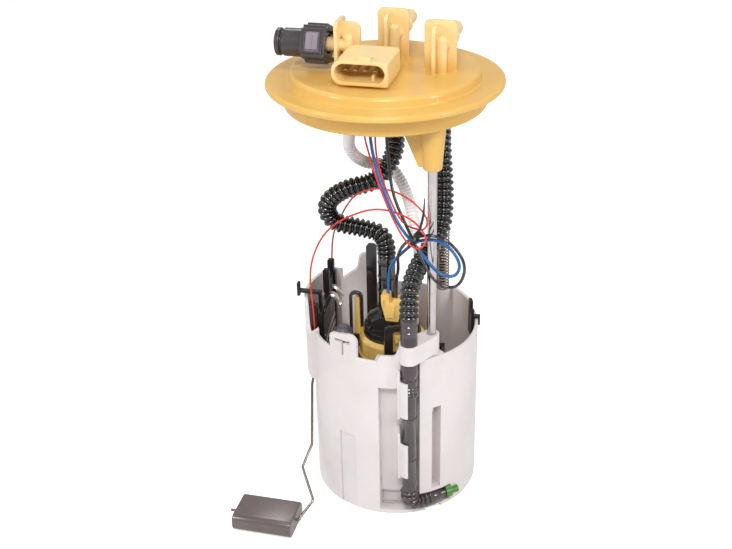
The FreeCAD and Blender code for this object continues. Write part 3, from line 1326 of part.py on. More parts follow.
def rimClip():
    # Black spring clip with two prongs on the right of the rim.
    r = potInner
    base = sector(r - 2.4, r - 0.1, 108, 126, 12, 26)
    hookA = sector(r - 2.4, potRadius + 1.6, 124.3, 126.2, 13, 16)
    prongA = sector(r - 2.4, r - 0.4, 125, 134, 20, 26)
    prongB = sector(r - 2.4, r - 0.4, 125, 131, 12, 15)
    lip = sector(potRadius + 0.1, potRadius + 1.6, 119, 126.2, 13, 16)
    return fuse([base, hookA, prongA, prongB, lip])


# output

save("reservoir", fuse([reservoir(), regulatorSeat()]))
save("flange", flange())
save("connector_pins", connectorPins())
save("guide_rod_front", guideRod(frontRodX, frontRodY, frontRodBottom))
save("guide_rod_rear", rearGuideRod())
save("rod_stop_clip", rodStop())
save("return_spring", returnSpring())
save("quick_connector_body", quickConnector())
save("quick_connector_seals", seals())
save("release_button_front", releaseButton(-1))
save("release_button_rear", releaseButton(1))
save("pump_can", pumpCan())
save("pump_magnets", pumpMagnets())
save("pump_rotor", pumpRotor())
save("pump_impeller", impeller())
save("pump_inlet_cover", pumpInlet())
save("pump_end_cap", pumpCap())
save("pump_ring", pumpRing())
save("pump_carrier", pumpCarrier())
save("pump_plug", pumpPlug())
save("strainer", strainer())
save("pressure_regulator", regulator())
save("inlet_valve", inletValve())
save("jet_fitting", nozzleFitting())
save("sender_frame", senderFrame())
save("sender_card", senderCard())
save("sender_contacts", senderContacts())
save("arm_holder", fuse([armHolder()] + holderClips()))
save("contact_wiper", contactWiper())
save("float_arm", floatArm())
save("level_float", levelFloat())
save("float_keeper", floatKeeper())
save("return_pipe", returnPipe())
save("rim_clip", rimClip())
spigotBore = 2 * (spigotRadius + hoseFit)
save("feed_hose", cord("feed_hose", feedRoute(), feedDia, spigotBore))
save("return_hose", cord("return_hose", returnRoute(), returnDia, spigotBore))
save("vent_hose", cord("vent_hose", ventRoute(), ventDia, 2 * (ventSpigot + hoseFit)))
save("wire_black", cord("wire_black", blackRoute(), powerWireDia))
save("wire_blue", cord("wire_blue", blueRoute(), powerWireDia))
save("wire_red_near", cord("wire_red_near", nearRoute(), signalWireDia))
save("wire_red_far", cord("wire_red_far", farRoute(), signalWireDia))
save("wire_tie", wireTie())
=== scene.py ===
import math
import bmesh
import bpy
from mathutils import Matrix, Vector


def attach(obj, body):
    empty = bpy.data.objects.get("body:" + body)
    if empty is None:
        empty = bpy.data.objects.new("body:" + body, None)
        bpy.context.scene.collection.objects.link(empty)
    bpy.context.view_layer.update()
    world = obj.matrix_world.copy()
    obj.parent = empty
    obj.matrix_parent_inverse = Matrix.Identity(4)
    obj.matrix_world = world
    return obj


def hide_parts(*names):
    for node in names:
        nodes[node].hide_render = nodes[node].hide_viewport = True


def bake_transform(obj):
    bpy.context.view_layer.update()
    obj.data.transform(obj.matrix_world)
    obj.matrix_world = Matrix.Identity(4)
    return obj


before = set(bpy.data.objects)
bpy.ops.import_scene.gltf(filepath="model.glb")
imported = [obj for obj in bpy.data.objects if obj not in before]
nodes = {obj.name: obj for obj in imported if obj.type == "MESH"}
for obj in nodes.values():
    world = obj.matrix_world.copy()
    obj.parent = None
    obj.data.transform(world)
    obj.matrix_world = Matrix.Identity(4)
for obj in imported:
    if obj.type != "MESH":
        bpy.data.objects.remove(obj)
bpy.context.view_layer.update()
scene = bpy.context.scene
scene.view_settings.view_transform = "Standard"
mm = 0.001  # metres
print("frame loaded:", len(nodes), "nodes")

# Camera

cameraSet = {
    "place": (0.16647, -0.69359, 0.53586),  # metres
    "turn": 15.068,  # degrees to the right of straight ahead
    "tilt": 27.833,  # degrees down
    "roll": -1.2656,
    "lens": 58.486,  # millimetres
    "sensor": 36,
    "near": 0.01,
}


def makeCamera():
    turn, tilt, roll = (math.radians(cameraSet[k]) for k in ("turn", "tilt", "roll"))
    ahead = Vector((-math.sin(turn) * math.cos(tilt), math.cos(turn) * math.cos(tilt),
                    -math.sin(tilt)))
    level = Vector((math.cos(turn), math.sin(turn), 0))
    above = level.cross(ahead)
    right = level * math.cos(roll) + above * math.sin(roll)
    up = above * math.cos(roll) - level * math.sin(roll)
    data = bpy.data.cameras.new("photoCamera")
    data.lens = cameraSet["lens"]
    data.sensor_width = cameraSet["sensor"]
    data.clip_start = cameraSet["near"]
    camera = bpy.data.objects.new("photoCamera", data)
    scene.collection.objects.link(camera)
    turned = Matrix((right, up, -ahead)).transposed().to_4x4()
    camera.matrix_world = Matrix.Translation(cameraSet["place"]) @ turned
    scene.camera = camera


makeCamera()
print("camera placed")

# Shader groups


def tone(red, green, blue):
    def straight(value):
        value /= 255
        return value / 12.92 if value <= 0.04045 else ((value + 0.055) / 1.055) ** 2.4
    return (straight(red), straight(green), straight(blue), 1.0)


def startGroup(name, inputs, outputs):
    tree = bpy.data.node_groups.new(name, "ShaderNodeTree")
    for label, kind, value in inputs:
        socket = tree.interface.new_socket(name=label, in_out="INPUT", socket_type=kind)
        socket.default_value = value
    for label, kind in outputs:
        tree.interface.new_socket(name=label, in_out="OUTPUT", socket_type=kind)
    return tree, tree.nodes.new("NodeGroupInput"), tree.nodes.new("NodeGroupOutput")


def feed(tree, socket, value):
    # link another node's output, or set a plain value
    if isinstance(value, bpy.types.NodeSocket):
        tree.links.new(value, socket)
    else:
        socket.default_value = value


def addNode(tree, kind, output, values, **settings):
    node = tree.nodes.new(kind)
    for label, value in settings.items():
        setattr(node, label, value)
    for label, value in values.items():
        feed(tree, node.inputs[label], value)
    return node.outputs[output]


def mathNode(tree, operation, first, second=None, third=None):
    node = tree.nodes.new("ShaderNodeMath")
    node.operation = operation
    for socket, value in zip(node.inputs, (first, second, third)):
        if value is not None:
            feed(tree, socket, value)
    return node.outputs[0]


def spread(tree, value, low, high, newLow=0.0, newHigh=1.0):
    return addNode(tree, "ShaderNodeMapRange", "Result", {
        "Value": value, "From Min": low, "From Max": high, "To Min": newLow, "To Max": newHigh},
        interpolation_type="SMOOTHSTEP")


def noise(tree, vector, scale, detail=3.0, rough=0.55):
    return addNode(tree, "ShaderNodeTexNoise", "Fac", {
        "Vector": vector, "Scale": scale, "Detail": detail, "Roughness": rough})


def objectPlace(tree, scale=(1, 1, 1), turn=(0, 0, 0)):
    place = addNode(tree, "ShaderNodeTexCoord", "Object", {})
    return addNode(tree, "ShaderNodeMapping", "Vector", {
        "Vector": place, "Scale": scale, "Rotation": turn})


def objectParts(tree):
    # place on the piece, whole and as its X, Y and Z
    whole = addNode(tree, "ShaderNodeTexCoord", "Object", {})
    parts = tree.nodes.new("ShaderNodeSeparateXYZ")
    tree.links.new(whole, parts.inputs[0])
    return whole, parts.outputs


mixFirst, mixSecond, mixResult = 6, 7, 2  # colour sockets of a Mix node


def mixColors(tree, share, first, second):
    node = tree.nodes.new("ShaderNodeMix")
    node.data_type = "RGBA"
    tree.links.new(share, node.inputs["Factor"])
    feed(tree, node.inputs[mixFirst], first)
    feed(tree, node.inputs[mixSecond], second)
    return node.outputs[mixResult]


skinSet = {
    "grainDetail": 2.0, "cloudDetail": 5.0, "cloudRough": 0.6, "cloudBand": (0.34, 0.66),
    "streakScale": (260, 260, 14), "streakTurn": (0.4, 0.25, 0), "streakBand": (0.63, 0.7),
    "patchScale": 31.0, "patchBand": (0.52, 0.66), "rubDepth": 0.5, "rubGloss": 0.12,
}


def makeSkinGroup():
    # fine moulded grain, soft clouds and thin rubbed scratches
    tree, given, out = startGroup(
        "mouldedSkin",
        [("Grain", "NodeSocketFloat", 900.0), ("Cloud", "NodeSocketFloat", 20.0)],
        [("Height", "NodeSocketFloat"), ("Cloud", "NodeSocketFloat"), ("Rub", "NodeSocketFloat")],
    )
    detail = skinSet["grainDetail"]
    place = objectPlace(tree)
    fine = noise(tree, place, given.outputs["Grain"], detail)
    cloud = noise(tree, place, given.outputs["Cloud"], skinSet["cloudDetail"],
                  skinSet["cloudRough"])
    streakPlace = objectPlace(tree, skinSet["streakScale"], skinSet["streakTurn"])
    streak = spread(tree, noise(tree, streakPlace, 1.0, detail), *skinSet["streakBand"])
    patch = spread(tree, noise(tree, place, skinSet["patchScale"], detail), *skinSet["patchBand"])
    rub = mathNode(tree, "MULTIPLY", streak, patch)
    scratch = mathNode(tree, "MULTIPLY", rub, skinSet["rubDepth"])
    tree.links.new(mathNode(tree, "SUBTRACT", fine, scratch), out.inputs["Height"])
    tree.links.new(spread(tree, cloud, *skinSet["cloudBand"]), out.inputs["Cloud"])
    tree.links.new(rub, out.inputs["Rub"])
    return tree


def makeTintGroup():
    # main colour shifting to a second one, with gloss that varies
    tree, given, out = startGroup(
        "handledTint",
        [("Color", "NodeSocketColor", (1, 1, 1, 1)), ("Shade", "NodeSocketColor", (1, 1, 1, 1)),
         ("Cloud", "NodeSocketFloat", 0.5), ("Rub", "NodeSocketFloat", 0.0),
         ("Amount", "NodeSocketFloat", 0.3), ("Gloss", "NodeSocketFloat", 0.4),
         ("Gloss Spread", "NodeSocketFloat", 0.1)],
        [("Color", "NodeSocketColor"), ("Roughness", "NodeSocketFloat")],
    )
    share = mathNode(tree, "MULTIPLY", given.outputs["Cloud"], given.outputs["Amount"])
    color = mixColors(tree, share, given.outputs["Color"], given.outputs["Shade"])
    tree.links.new(color, out.inputs["Color"])
    swing = mathNode(tree, "SUBTRACT", given.outputs["Cloud"], 0.5)
    swing = mathNode(tree, "MULTIPLY", swing, given.outputs["Gloss Spread"])
    gloss = mathNode(tree, "ADD", given.outputs["Gloss"], swing)
    rubbed = mathNode(tree, "MULTIPLY", given.outputs["Rub"], skinSet["rubGloss"])
    tree.links.new(mathNode(tree, "ADD", gloss, rubbed), out.inputs["Roughness"])
    return tree


drawnSet = {
    "lineDetail": 3.0, "lineBand": (0.6, 0.78), "stainScale": 45.0, "stainDetail": 4.0,
    "stainRough": 0.6, "stainBand": (0.36, 0.68),
}


def makeDrawnGroup():
    # fine lines drawn along the metal, and stains from handling
    tree, given, out = startGroup(
        "drawnMetal",
        [("Across", "NodeSocketFloat", 2600.0), ("Along", "NodeSocketFloat", 60.0)],
        [("Height", "NodeSocketFloat"), ("Cloud", "NodeSocketFloat"), ("Rub", "NodeSocketFloat")],
    )
    place, parts = objectParts(tree)
    stretched = {
        label: mathNode(tree, "MULTIPLY", parts[label], given.outputs[socket])
        for label, socket in (("X", "Across"), ("Y", "Across"), ("Z", "Along"))}
    joined = addNode(tree, "ShaderNodeCombineXYZ", "Vector", stretched)
    line = noise(tree, joined, 1.0, drawnSet["lineDetail"])
    stain = noise(tree, place, drawnSet["stainScale"], drawnSet["stainDetail"],
                  drawnSet["stainRough"])
    tree.links.new(line, out.inputs["Height"])
    tree.links.new(spread(tree, stain, *drawnSet["stainBand"]), out.inputs["Cloud"])
    tree.links.new(spread(tree, line, *drawnSet["lineBand"]), out.inputs["Rub"])
    return tree


weaveSet = {"hole": 0.5}


def makeWeaveGroup():
    # crossed threads for the fine filter cloth
    tree, given, out = startGroup(
        "filterWeave", [("Threads", "NodeSocketFloat", 1500.0)],
        [("Height", "NodeSocketFloat"), ("Hole", "NodeSocketFloat")],
    )
    parts = objectParts(tree)[1]
    waves = []
    for label in ("X", "Y", "Z"):
        phase = mathNode(tree, "MULTIPLY", parts[label], given.outputs["Threads"])
        waves.append(mathNode(tree, "ABSOLUTE", mathNode(tree, "SINE", phase)))
    flat = mathNode(tree, "MAXIMUM", waves[0], waves[1])
    tree.links.new(mathNode(tree, "MAXIMUM", flat, waves[2]), out.inputs["Height"])
    low = mathNode(tree, "MULTIPLY", waves[0], waves[1])
    tree.links.new(spread(tree, low, 0.0, weaveSet["hole"], 1.0, 0.0), out.inputs["Hole"])
    return tree


# share: how strongly the painted highlight lightens the colour along edges
edgeHighlightSet = {"samples": 4, "turnBand": (0.8, 0.99), "share": 0.7}


def makeEdgeHighlightGroup():
    # rounder-looking edges from a bevel normal, with a mask for a painted highlight along them
    tree, given, out = startGroup(
        "softEdgeHighlight", [("Width", "NodeSocketFloat", 0.0004)],
        [("Edge", "NodeSocketFloat"), ("Normal", "NodeSocketVector")],
    )
    bevel = tree.nodes.new("ShaderNodeBevel")
    bevel.samples = edgeHighlightSet["samples"]
    tree.links.new(given.outputs["Width"], bevel.inputs["Radius"])
    shape = tree.nodes.new("ShaderNodeNewGeometry")
    dot = tree.nodes.new("ShaderNodeVectorMath")
    dot.operation = "DOT_PRODUCT"
    tree.links.new(bevel.outputs["Normal"], dot.inputs[0])
    tree.links.new(shape.outputs["Normal"], dot.inputs[1])
    edge = spread(tree, dot.outputs["Value"], *edgeHighlightSet["turnBand"], 1.0, 0.0)
    tree.links.new(edge, out.inputs["Edge"])
    tree.links.new(bevel.outputs["Normal"], out.inputs["Normal"])
    return tree


skinGroup = makeSkinGroup()
tintGroup = makeTintGroup()
drawnGroup = makeDrawnGroup()
weaveGroup = makeWeaveGroup()
edgeHighlightGroup = makeEdgeHighlightGroup()
print("shader groups made")

# Finishes

finishes = {  # colours 0 to 255, depth of the grain in millimetres
    # the edge colours are painted highlights along edges
    "potWhite": {
        "color": (233, 226, 226), "shade": (219, 210, 209), "amount": 0.55, "gloss": 0.34,
        "glossSpread": 0.12, "grain": 1500, "depth": 0.018, "cloud": 16, "edge": 0.0005,
        "edgeHighlight": (248, 244, 244), "subsurface": 0.15, "specular": 0.35},
    "flangeCream": {
        "color": (232, 189, 105), "shade": (225, 177, 88), "amount": 0.6, "gloss": 0.17,
        "glossSpread": 0.08, "grain": 1100, "depth": 0.012, "cloud": 19, "edge": 0.0008,
        "edgeHighlight": (255, 226, 164), "subsurface": 0.15, "specular": 0.4,
        # painted light: paler colour on the upright walls above the plate
        "paintedLight": {"color": (246, 218, 160), "low": 0.303, "high": 0.318}},
    "pinMetal": {
        "color": (206, 186, 148), "shade": (160, 140, 110), "metal": 1, "gloss": 0.25,
        "drawn": True},
    "rodSteel": {
        "color": (206, 201, 199), "shade": (176, 171, 170), "metal": 1, "gloss": 0.17,
        "drawn": True},
    "springSteel": {
        "color": (172, 158, 146), "shade": (122, 108, 98), "metal": 0.9, "gloss": 0.3,
        "amount": 0.7, "cloud": 90, "depth": 0.03},
    "couplingBlack": {
        "color": (62, 57, 60), "shade": (80, 74, 78), "gloss": 0.26, "glossSpread": 0.16,
        "grain": 1800, "depth": 0.03, "edge": 0.0004, "edgeHighlight": (150, 141, 148)},
    "couplingPad": {
        "color": (140, 130, 142), "shade": (116, 106, 119), "gloss": 0.4, "grain": 2200,
        "depth": 0.05, "edge": 0.0003, "edgeHighlight": (160, 150, 164)},
    "sealRubber": {
        "color": (21, 20, 21), "shade": (36, 34, 35), "gloss": 0.5, "depth": 0.05},
    "canSteel": {
        "color": (178, 176, 176), "shade": (136, 132, 132), "metal": 1, "gloss": 0.28,
        "drawn": True},
    "canCast": {
        "color": (150, 148, 148), "shade": (112, 110, 110), "metal": 0.9, "gloss": 0.46,
        "depth": 0.12},
    "magnetGrey": {
        "color": (66, 64, 66), "shade": (48, 46, 48), "metal": 0.4, "gloss": 0.5, "depth": 0.08},
    "rotorSteel": {
        "color": (150, 146, 142), "shade": (104, 98, 94), "metal": 1, "gloss": 0.34, "drawn": True},
    "impellerPlastic": {
        "color": (58, 50, 44), "shade": (42, 36, 32), "gloss": 0.4, "depth": 0.03},
    "capBlack": {
        "color": (34, 30, 32), "shade": (50, 45, 47), "gloss": 0.16, "grain": 1500,
        "depth": 0.012, "edge": 0.0005, "edgeHighlight": (110, 103, 105), "specular": 0.6},
    "ringYellow": {
        "color": (250, 212, 124), "shade": (243, 196, 100), "amount": 0.6, "gloss": 0.3,
        "grain": 1300, "edge": 0.0004, "edgeHighlight": (250, 222, 160), "subsurface": 0.1,
        "specular": 0.35},
    "strainerMesh": {
        "color": (222, 216, 204), "shade": (150, 142, 128), "gloss": 0.55, "weave": 2300},
    "regulatorGrey": {
        "color": (92, 88, 90), "shade": (68, 64, 66), "gloss": 0.4, "depth": 0.04},
    "jetGreen": {
        "color": (84, 142, 52), "shade": (60, 118, 36), "gloss": 0.28, "subsurface": 0.08},
    "senderBlack": {
        "color": (26, 24, 25), "shade": (40, 37, 38), "gloss": 0.3, "glossSpread": 0.14,
        "depth": 0.03, "edge": 0.0003, "edgeHighlight": (84, 78, 80), "specular": 0.3},
    "cardCeramic": {
        "color": (40, 37, 37), "shade": (58, 54, 53), "gloss": 0.3, "depth": 0.01, "cloud": 120,
        "tracks": {"middle": (0.012, 0.078), "radii": (0.03, 0.036, 0.042), "half": 0.00115,
                   "color": (214, 208, 200)}},
    "contactMetal": {
        "color": (226, 219, 211), "shade": (188, 179, 170), "metal": 1, "gloss": 0.24,
        "drawn": True},
    "armSteel": {
        "color": (150, 136, 130), "shade": (112, 98, 92), "metal": 0.9, "gloss": 0.26,
        "amount": 0.7, "cloud": 70, "depth": 0.03},
    "floatFoam": {
        "color": (104, 91, 90), "shade": (88, 76, 75), "amount": 0.6, "gloss": 0.22,
        "glossSpread": 0.08, "grain": 1300, "depth": 0.012, "cloud": 60, "specular": 0.75},
    "hoseBlack": {
        "color": (10, 9, 10), "shade": (17, 15, 16), "gloss": 0.12, "glossSpread": 0.05,
        "grain": 1600, "depth": 0.003, "cloud": 55, "specular": 0.8, "coat": 0.5},
    "pipeBlack": {
        "color": (64, 56, 58), "shade": (80, 71, 73), "gloss": 0.15, "glossSpread": 0.08,
        "grain": 1600, "depth": 0.006, "cloud": 45, "specular": 0.55, "coat": 0.4},
    "hoseClear": {
        "color": (252, 247, 248), "shade": (246, 239, 241), "gloss": 0.22, "depth": 0.0,
        "specular": 0.6},
    "wireBlack": {
        "color": (14, 12, 12), "shade": (24, 21, 21), "gloss": 0.14, "specular": 0.8,
        "depth": 0.01, "cloud": 80, "coat": 0.5},
    "wireBlue": {
        "color": (38, 112, 186), "shade": (22, 84, 154), "gloss": 0.24, "cloud": 80},
    "wireRed": {
        "color": (226, 54, 36), "shade": (190, 32, 24), "gloss": 0.26, "cloud": 80},
    "tieBlack": {
        "color": (28, 28, 30), "shade": (46, 44, 46), "gloss": 0.26, "depth": 0.03},
}
finishDefaults = {  # where a finish names no value of its own
    "amount": 0.5, "glossSpread": 0.1, "grain": 1400, "cloud": 26, "depth": 0.02,
    "metal": 0.0, "specular": 0.5, "coat": 0.0,
}
lightSet = {  # how every finish meets the light
    "ior": 1.5, "coatRoughness": 0.08, "innerRadius": (1.0, 0.6, 0.35), "innerScale": 0.005,
    "paintedLightShare": 0.9, "trackMetal": 0.8,
}


def useGroup(tree, group, values):
    node = tree.nodes.new("ShaderNodeGroup")
    node.node_tree = group
    for label, value in values.items():
        feed(tree, node.inputs[label], value)
    return node


def paintedLightAbove(tree, color, paintedLight):
    # painted light: the upright walls above the plate get a paler colour, standing in for the light
    # they catch
    height = objectParts(tree)[1]["Z"]
    level = spread(tree, height, paintedLight["low"], paintedLight["high"])
    share = mathNode(tree, "MULTIPLY", level, lightSet["paintedLightShare"])
    return mixColors(tree, share, color, tone(*paintedLight["color"]))


def trackBands(tree, color, tracks):
    # bright sweep tracks on the dark card, rings about the arm's pivot
    parts = objectParts(tree)[1]
    across = mathNode(tree, "SUBTRACT", parts["Y"], tracks["middle"][0])
    above = mathNode(tree, "SUBTRACT", parts["Z"], tracks["middle"][1])
    square = mathNode(tree, "MULTIPLY_ADD", across, across,
                      mathNode(tree, "MULTIPLY", above, above))
    reach = mathNode(tree, "SQRT", square)
    band = 0.0
    for radius in tracks["radii"]:
        ring = mathNode(tree, "COMPARE", reach, radius, tracks["half"])
        band = mathNode(tree, "MAXIMUM", ring, band)
    return mixColors(tree, band, color, tone(*tracks["color"])), band


def makeSkin(tree, given):
    # height, cloud and rub of the surface: woven, drawn or moulded
    if "weave" in given:
        skin = useGroup(tree, weaveGroup, {"Threads": given["weave"]}).outputs
        return skin["Height"], skin["Hole"], 0.0
    if "drawn" in given:
        skin = useGroup(tree, drawnGroup, {}).outputs
    else:
        values = {"Grain": given["grain"], "Cloud": given["cloud"]}
        skin = useGroup(tree, skinGroup, values).outputs
    return skin["Height"], skin["Cloud"], skin["Rub"]


def makeFinish(name, given):
    given = {**finishDefaults, **given}
    material = bpy.data.materials.new(name)
    material.use_nodes = True
    tree = material.node_tree
    shader = tree.nodes["Principled BSDF"]
    height, cloud, rub = makeSkin(tree, given)
    tint = useGroup(tree, tintGroup, {
        "Color": tone(*given["color"]), "Shade": tone(*given["shade"]), "Cloud": cloud,
        "Rub": rub, "Amount": given["amount"], "Gloss": given["gloss"],
        "Gloss Spread": given["glossSpread"]})
    bump = addNode(tree, "ShaderNodeBump", "Normal", {
        "Strength": 1.0, "Distance": given["depth"] * mm, "Height": height})
    color, metal = tint.outputs["Color"], given["metal"]
    # painted highlight: colour lightened towards a paler edge colour along edges
    if "edge" in given:
        edge = useGroup(tree, edgeHighlightGroup, {"Width": given["edge"]})
        share = mathNode(tree, "MULTIPLY", edge.outputs["Edge"], edgeHighlightSet["share"])
        color = mixColors(tree, share, color, tone(*given["edgeHighlight"]))
        tree.links.new(edge.outputs["Normal"], bump.node.inputs["Normal"])
    # painted light: upright walls painted paler by height
    if "paintedLight" in given:
        color = paintedLightAbove(tree, color, given["paintedLight"])
    if "tracks" in given:
        color, band = trackBands(tree, color, given["tracks"])
        metal = mathNode(tree, "MULTIPLY", band, lightSet["trackMetal"])
    values = {
        "Base Color": color, "Metallic": metal, "Roughness": tint.outputs["Roughness"],
        "Normal": bump, "IOR": lightSet["ior"],
        "Specular IOR Level": given["specular"], "Coat Weight": given["coat"],
        "Coat Roughness": lightSet["coatRoughness"],
    }
    if "subsurface" in given:
        values["Subsurface Weight"] = given["subsurface"]
        values["Subsurface Radius"] = lightSet["innerRadius"]
        values["Subsurface Scale"] = lightSet["innerScale"]
    for label, value in values.items():
        feed(tree, shader.inputs[label], value)
    return material


materials = {name: makeFinish(name, given) for name, given in finishes.items()}
print("finishes made:", len(materials))

# Shared by the pieces made here


def joinRings(shape, rings):
    # side faces between closed rings of points that follow each other
    for ring, nextRing in zip(rings, rings[1:]):
        for index in range(len(ring)):
            after = (index + 1) % len(ring)
            shape.faces.new((ring[index], ring[after], nextRing[after], nextRing[index]))


def shapePiece(shape, name, finish):
    mesh = bpy.data.meshes.new(name)
    shape.to_mesh(mesh)
    shape.free()
    mesh.materials.append(materials[finish])
    piece = bpy.data.objects.new(name, mesh)
    scene.collection.objects.link(piece)
    return piece


def placePiece(piece, node, body):
    # stands for the node and moves with the body
    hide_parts(node)
    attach(piece, body)


def stretchPiece(piece):
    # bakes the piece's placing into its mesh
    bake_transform(piece)


# Hoses and wires: each follows one smooth spline through the route of its solid.
# Routes are in millimetres, all else in metres.

cordDefaults = {"stiffness": "medium", "hold": (0.156, 0.284)}
feedHose = {
    "node": "feed_hose", "finish": "hoseBlack", "stiffness": "stiff", "hold": (0.146, 0.272),
    "length": 0.2025, "diameter": 0.0126, "root": 0.0041, "crest": 0.0063, "pitch": 0.0035,
    "step": 0.0003, "sides": 36, "cuffEnd": 0.036, "cuffRadius": 0.0058, "ringStep": 0.0105,
    "ringHeight": 0.0004,
    "points": [
        (-2.4, 14.9, 285), (-2.4, 14.9, 262), (1.5, -1, 246.5), (-9, -12, 231), (-28, -15, 227),
        (-43.5, -14, 214.5), (-40, -12, 199.5), (-20, -10, 197), (-3.6, -8, 192.5),
        (-3.6, -8, 166), (-3.6, -8, 140.9)],
}
returnHose = {
    "node": "return_hose", "finish": "hoseBlack", "stiffness": "stiff", "hold": (0.162, 0.272),
    "length": 0.1472, "diameter": 0.0126, "root": 0.0041, "crest": 0.0063, "pitch": 0.0041,
    "step": 0.00035, "sides": 36, "cuffRadius": 0.0058,
    "points": [
        (31.9, -5.6, 285), (31.9, -5.6, 266), (33.9, -8.6, 246), (36, -12, 226), (36, -17.5, 204),
        (26, -25.5, 190), (21.5, -44, 180), (21.7, -53.3, 172), (21.7, -53.3, 158.02)],
}
ventHose = {
    "node": "vent_hose", "finish": "hoseClear", "hold": (0.146, 0.272),
    "length": 0.1729, "diameter": 0.008, "root": 0.0034, "crest": 0.004, "pitch": 0.0022,
    "step": 0.00022, "sides": 30, "cuffStart": 0.03, "cuffEnd": 0.012, "cuffRadius": 0.0039,
    "points": [
        (-25.6, -10.8, 285), (-25.6, -10.8, 266), (-28.6, -7.8, 250), (-20, 5, 236), (-5, 9, 236),
        (6, 8, 220), (12.5, 4, 198), (17, 3, 178), (15, 2.5, 160), (9, 0.5, 153), (9, 0.5, 138.52)],
}
blackWire = {
    "node": "wire_black", "finish": "wireBlack", "length": 0.2611, "diameter": 0.002,
    "points": [
        (2.9, -32, 288), (2.9, -32, 274), (5.2, -35, 254), (8.6, -40, 236), (18, -45, 219),
        (28.5, -50.8, 201), (38, -52, 183.5), (53, -52, 181), (58.5, -51, 199.5),
        (43, -50, 216.5), (22.5, -43, 211), (10.5, -36.5, 196), (9.4, -28.5, 178),
        (5.6, -20, 166), (5.6, -20, 146)],
}
blueWire = {
    "node": "wire_blue", "finish": "wireBlue", "length": 0.2445, "diameter": 0.002,
    "points": [
        (-7.8, -32, 288), (-7.8, -32, 275), (-4, -36, 256), (4.4, -43.5, 238), (14.5, -48.6, 219),
        (26, -44.8, 203), (38.5, -46.5, 187.5), (50.5, -48, 187), (54, -48, 198), (42, -47, 212),
        (24.5, -40, 207), (14.5, -33.5, 195), (5.4, -25.5, 183), (0, -20, 170), (0, -20, 146)],
}
nearRedWire = {
    "node": "wire_red_near", "finish": "wireRed", "length": 0.2796, "diameter": 0.0012,
    "points": [
        (-12.2, -32, 288), (-12.2, -32, 276), (-5.9, -36.5, 256.3), (3.0, -44.3, 238.1),
        (13.4, -49.9, 219.1), (22.0, -52.6, 208.0), (30, -54, 207.5), (33.5, -51, 214.5),
        (22, -46.7, 225), (0, -43, 228.5), (-22, -38, 217.5), (-38.5, -33.6, 203),
        (-48.5, -31.6, 182), (-51, -30.6, 162), (-49.6, -28.2, 146), (-49.6, -28.2, 116)],
}
farRedWire = {
    "node": "wire_red_far", "finish": "wireRed", "length": 0.2428, "diameter": 0.0012,
    "points": [
        (-4.1, -32, 288), (-4.1, -32, 276), (-2.6, -35.5, 256.6), (5.7, -42.8, 238.6),
        (15.2, -46.8, 221.4), (22.5, -42.5, 215.5), (29.5, -41.5, 214.5), (31.5, -39.5, 222),
        (19, -36, 233), (0, -31, 237), (-18.5, -26, 229), (-29.5, -15, 212.5), (-38, 1.5, 196),
        (-47.9, 12.2, 176), (-47.9, 12.2, 154)],
}
lineSet = {"order": 3, "resolution": 16}
tubeSet = {"ribPower": 0.9, "ringPower": 10.0, "cuffBlend": 0.0008}
tubeDefaults = {
    "step": 0.0009, "pitch": 0.004, "cuffStart": 0.0, "cuffEnd": 0.0, "ringStep": 0.01,
    "ringHeight": 0.0, "sides": 16,
}


def metres(points):
    return [Vector(point) * mm for point in points]


def startLine(name, kind, count, resolution):
    curve = bpy.data.curves.new(name, "CURVE")
    curve.dimensions = "3D"
    curve.resolution_u = resolution
    spline = curve.splines.new(kind)
    (spline.points if kind == "NURBS" else spline.bezier_points).add(count - 1)
    line = bpy.data.objects.new(name, curve)
    scene.collection.objects.link(line)
    return line, spline


def makeSpline(name, points):
    line, spline = startLine(name, "NURBS", len(points), lineSet["resolution"])
    for place, point in zip(spline.points, points):
        place.co = (*point, 1.0)
    spline.order_u = lineSet["order"]
    spline.use_endpoint_u = True
    return line


def plainMesh(item):
    # the item's evaluated form, with nothing left to compute
    bpy.context.view_layer.update()
    depsgraph = bpy.context.evaluated_depsgraph_get()
    return bpy.data.meshes.new_from_object(item.evaluated_get(depsgraph))


def readLine(line):
    # points along the finished spline, for the cord's path
    mesh = plainMesh(line)
    points = [vertex.co.copy() for vertex in mesh.vertices]
    bpy.data.meshes.remove(mesh)
    return points


def startTree(name, inputs):
    tree = bpy.data.node_groups.new(name, "GeometryNodeTree")
    tree.interface.new_socket(name="Geometry", in_out="INPUT", socket_type="NodeSocketGeometry")
    for label, kind, value in inputs:
        socket = tree.interface.new_socket(name=label, in_out="INPUT", socket_type=kind)
        if value is not None:
            socket.default_value = value
    tree.interface.new_socket(name="Geometry", in_out="OUTPUT", socket_type="NodeSocketGeometry")
    return tree, tree.nodes.new("NodeGroupInput"), tree.nodes.new("NodeGroupOutput")


def endTree(tree, given, out, geometry):
    smooth = addNode(tree, "GeometryNodeSetShadeSmooth", "Geometry", {"Geometry": geometry})
    real = addNode(tree, "GeometryNodeRealizeInstances", "Geometry", {"Geometry": smooth})
    finish = addNode(tree, "GeometryNodeSetMaterial", "Geometry", {
        "Geometry": real, "Material": given.outputs["Finish"]})
    tree.links.new(finish, out.inputs["Geometry"])


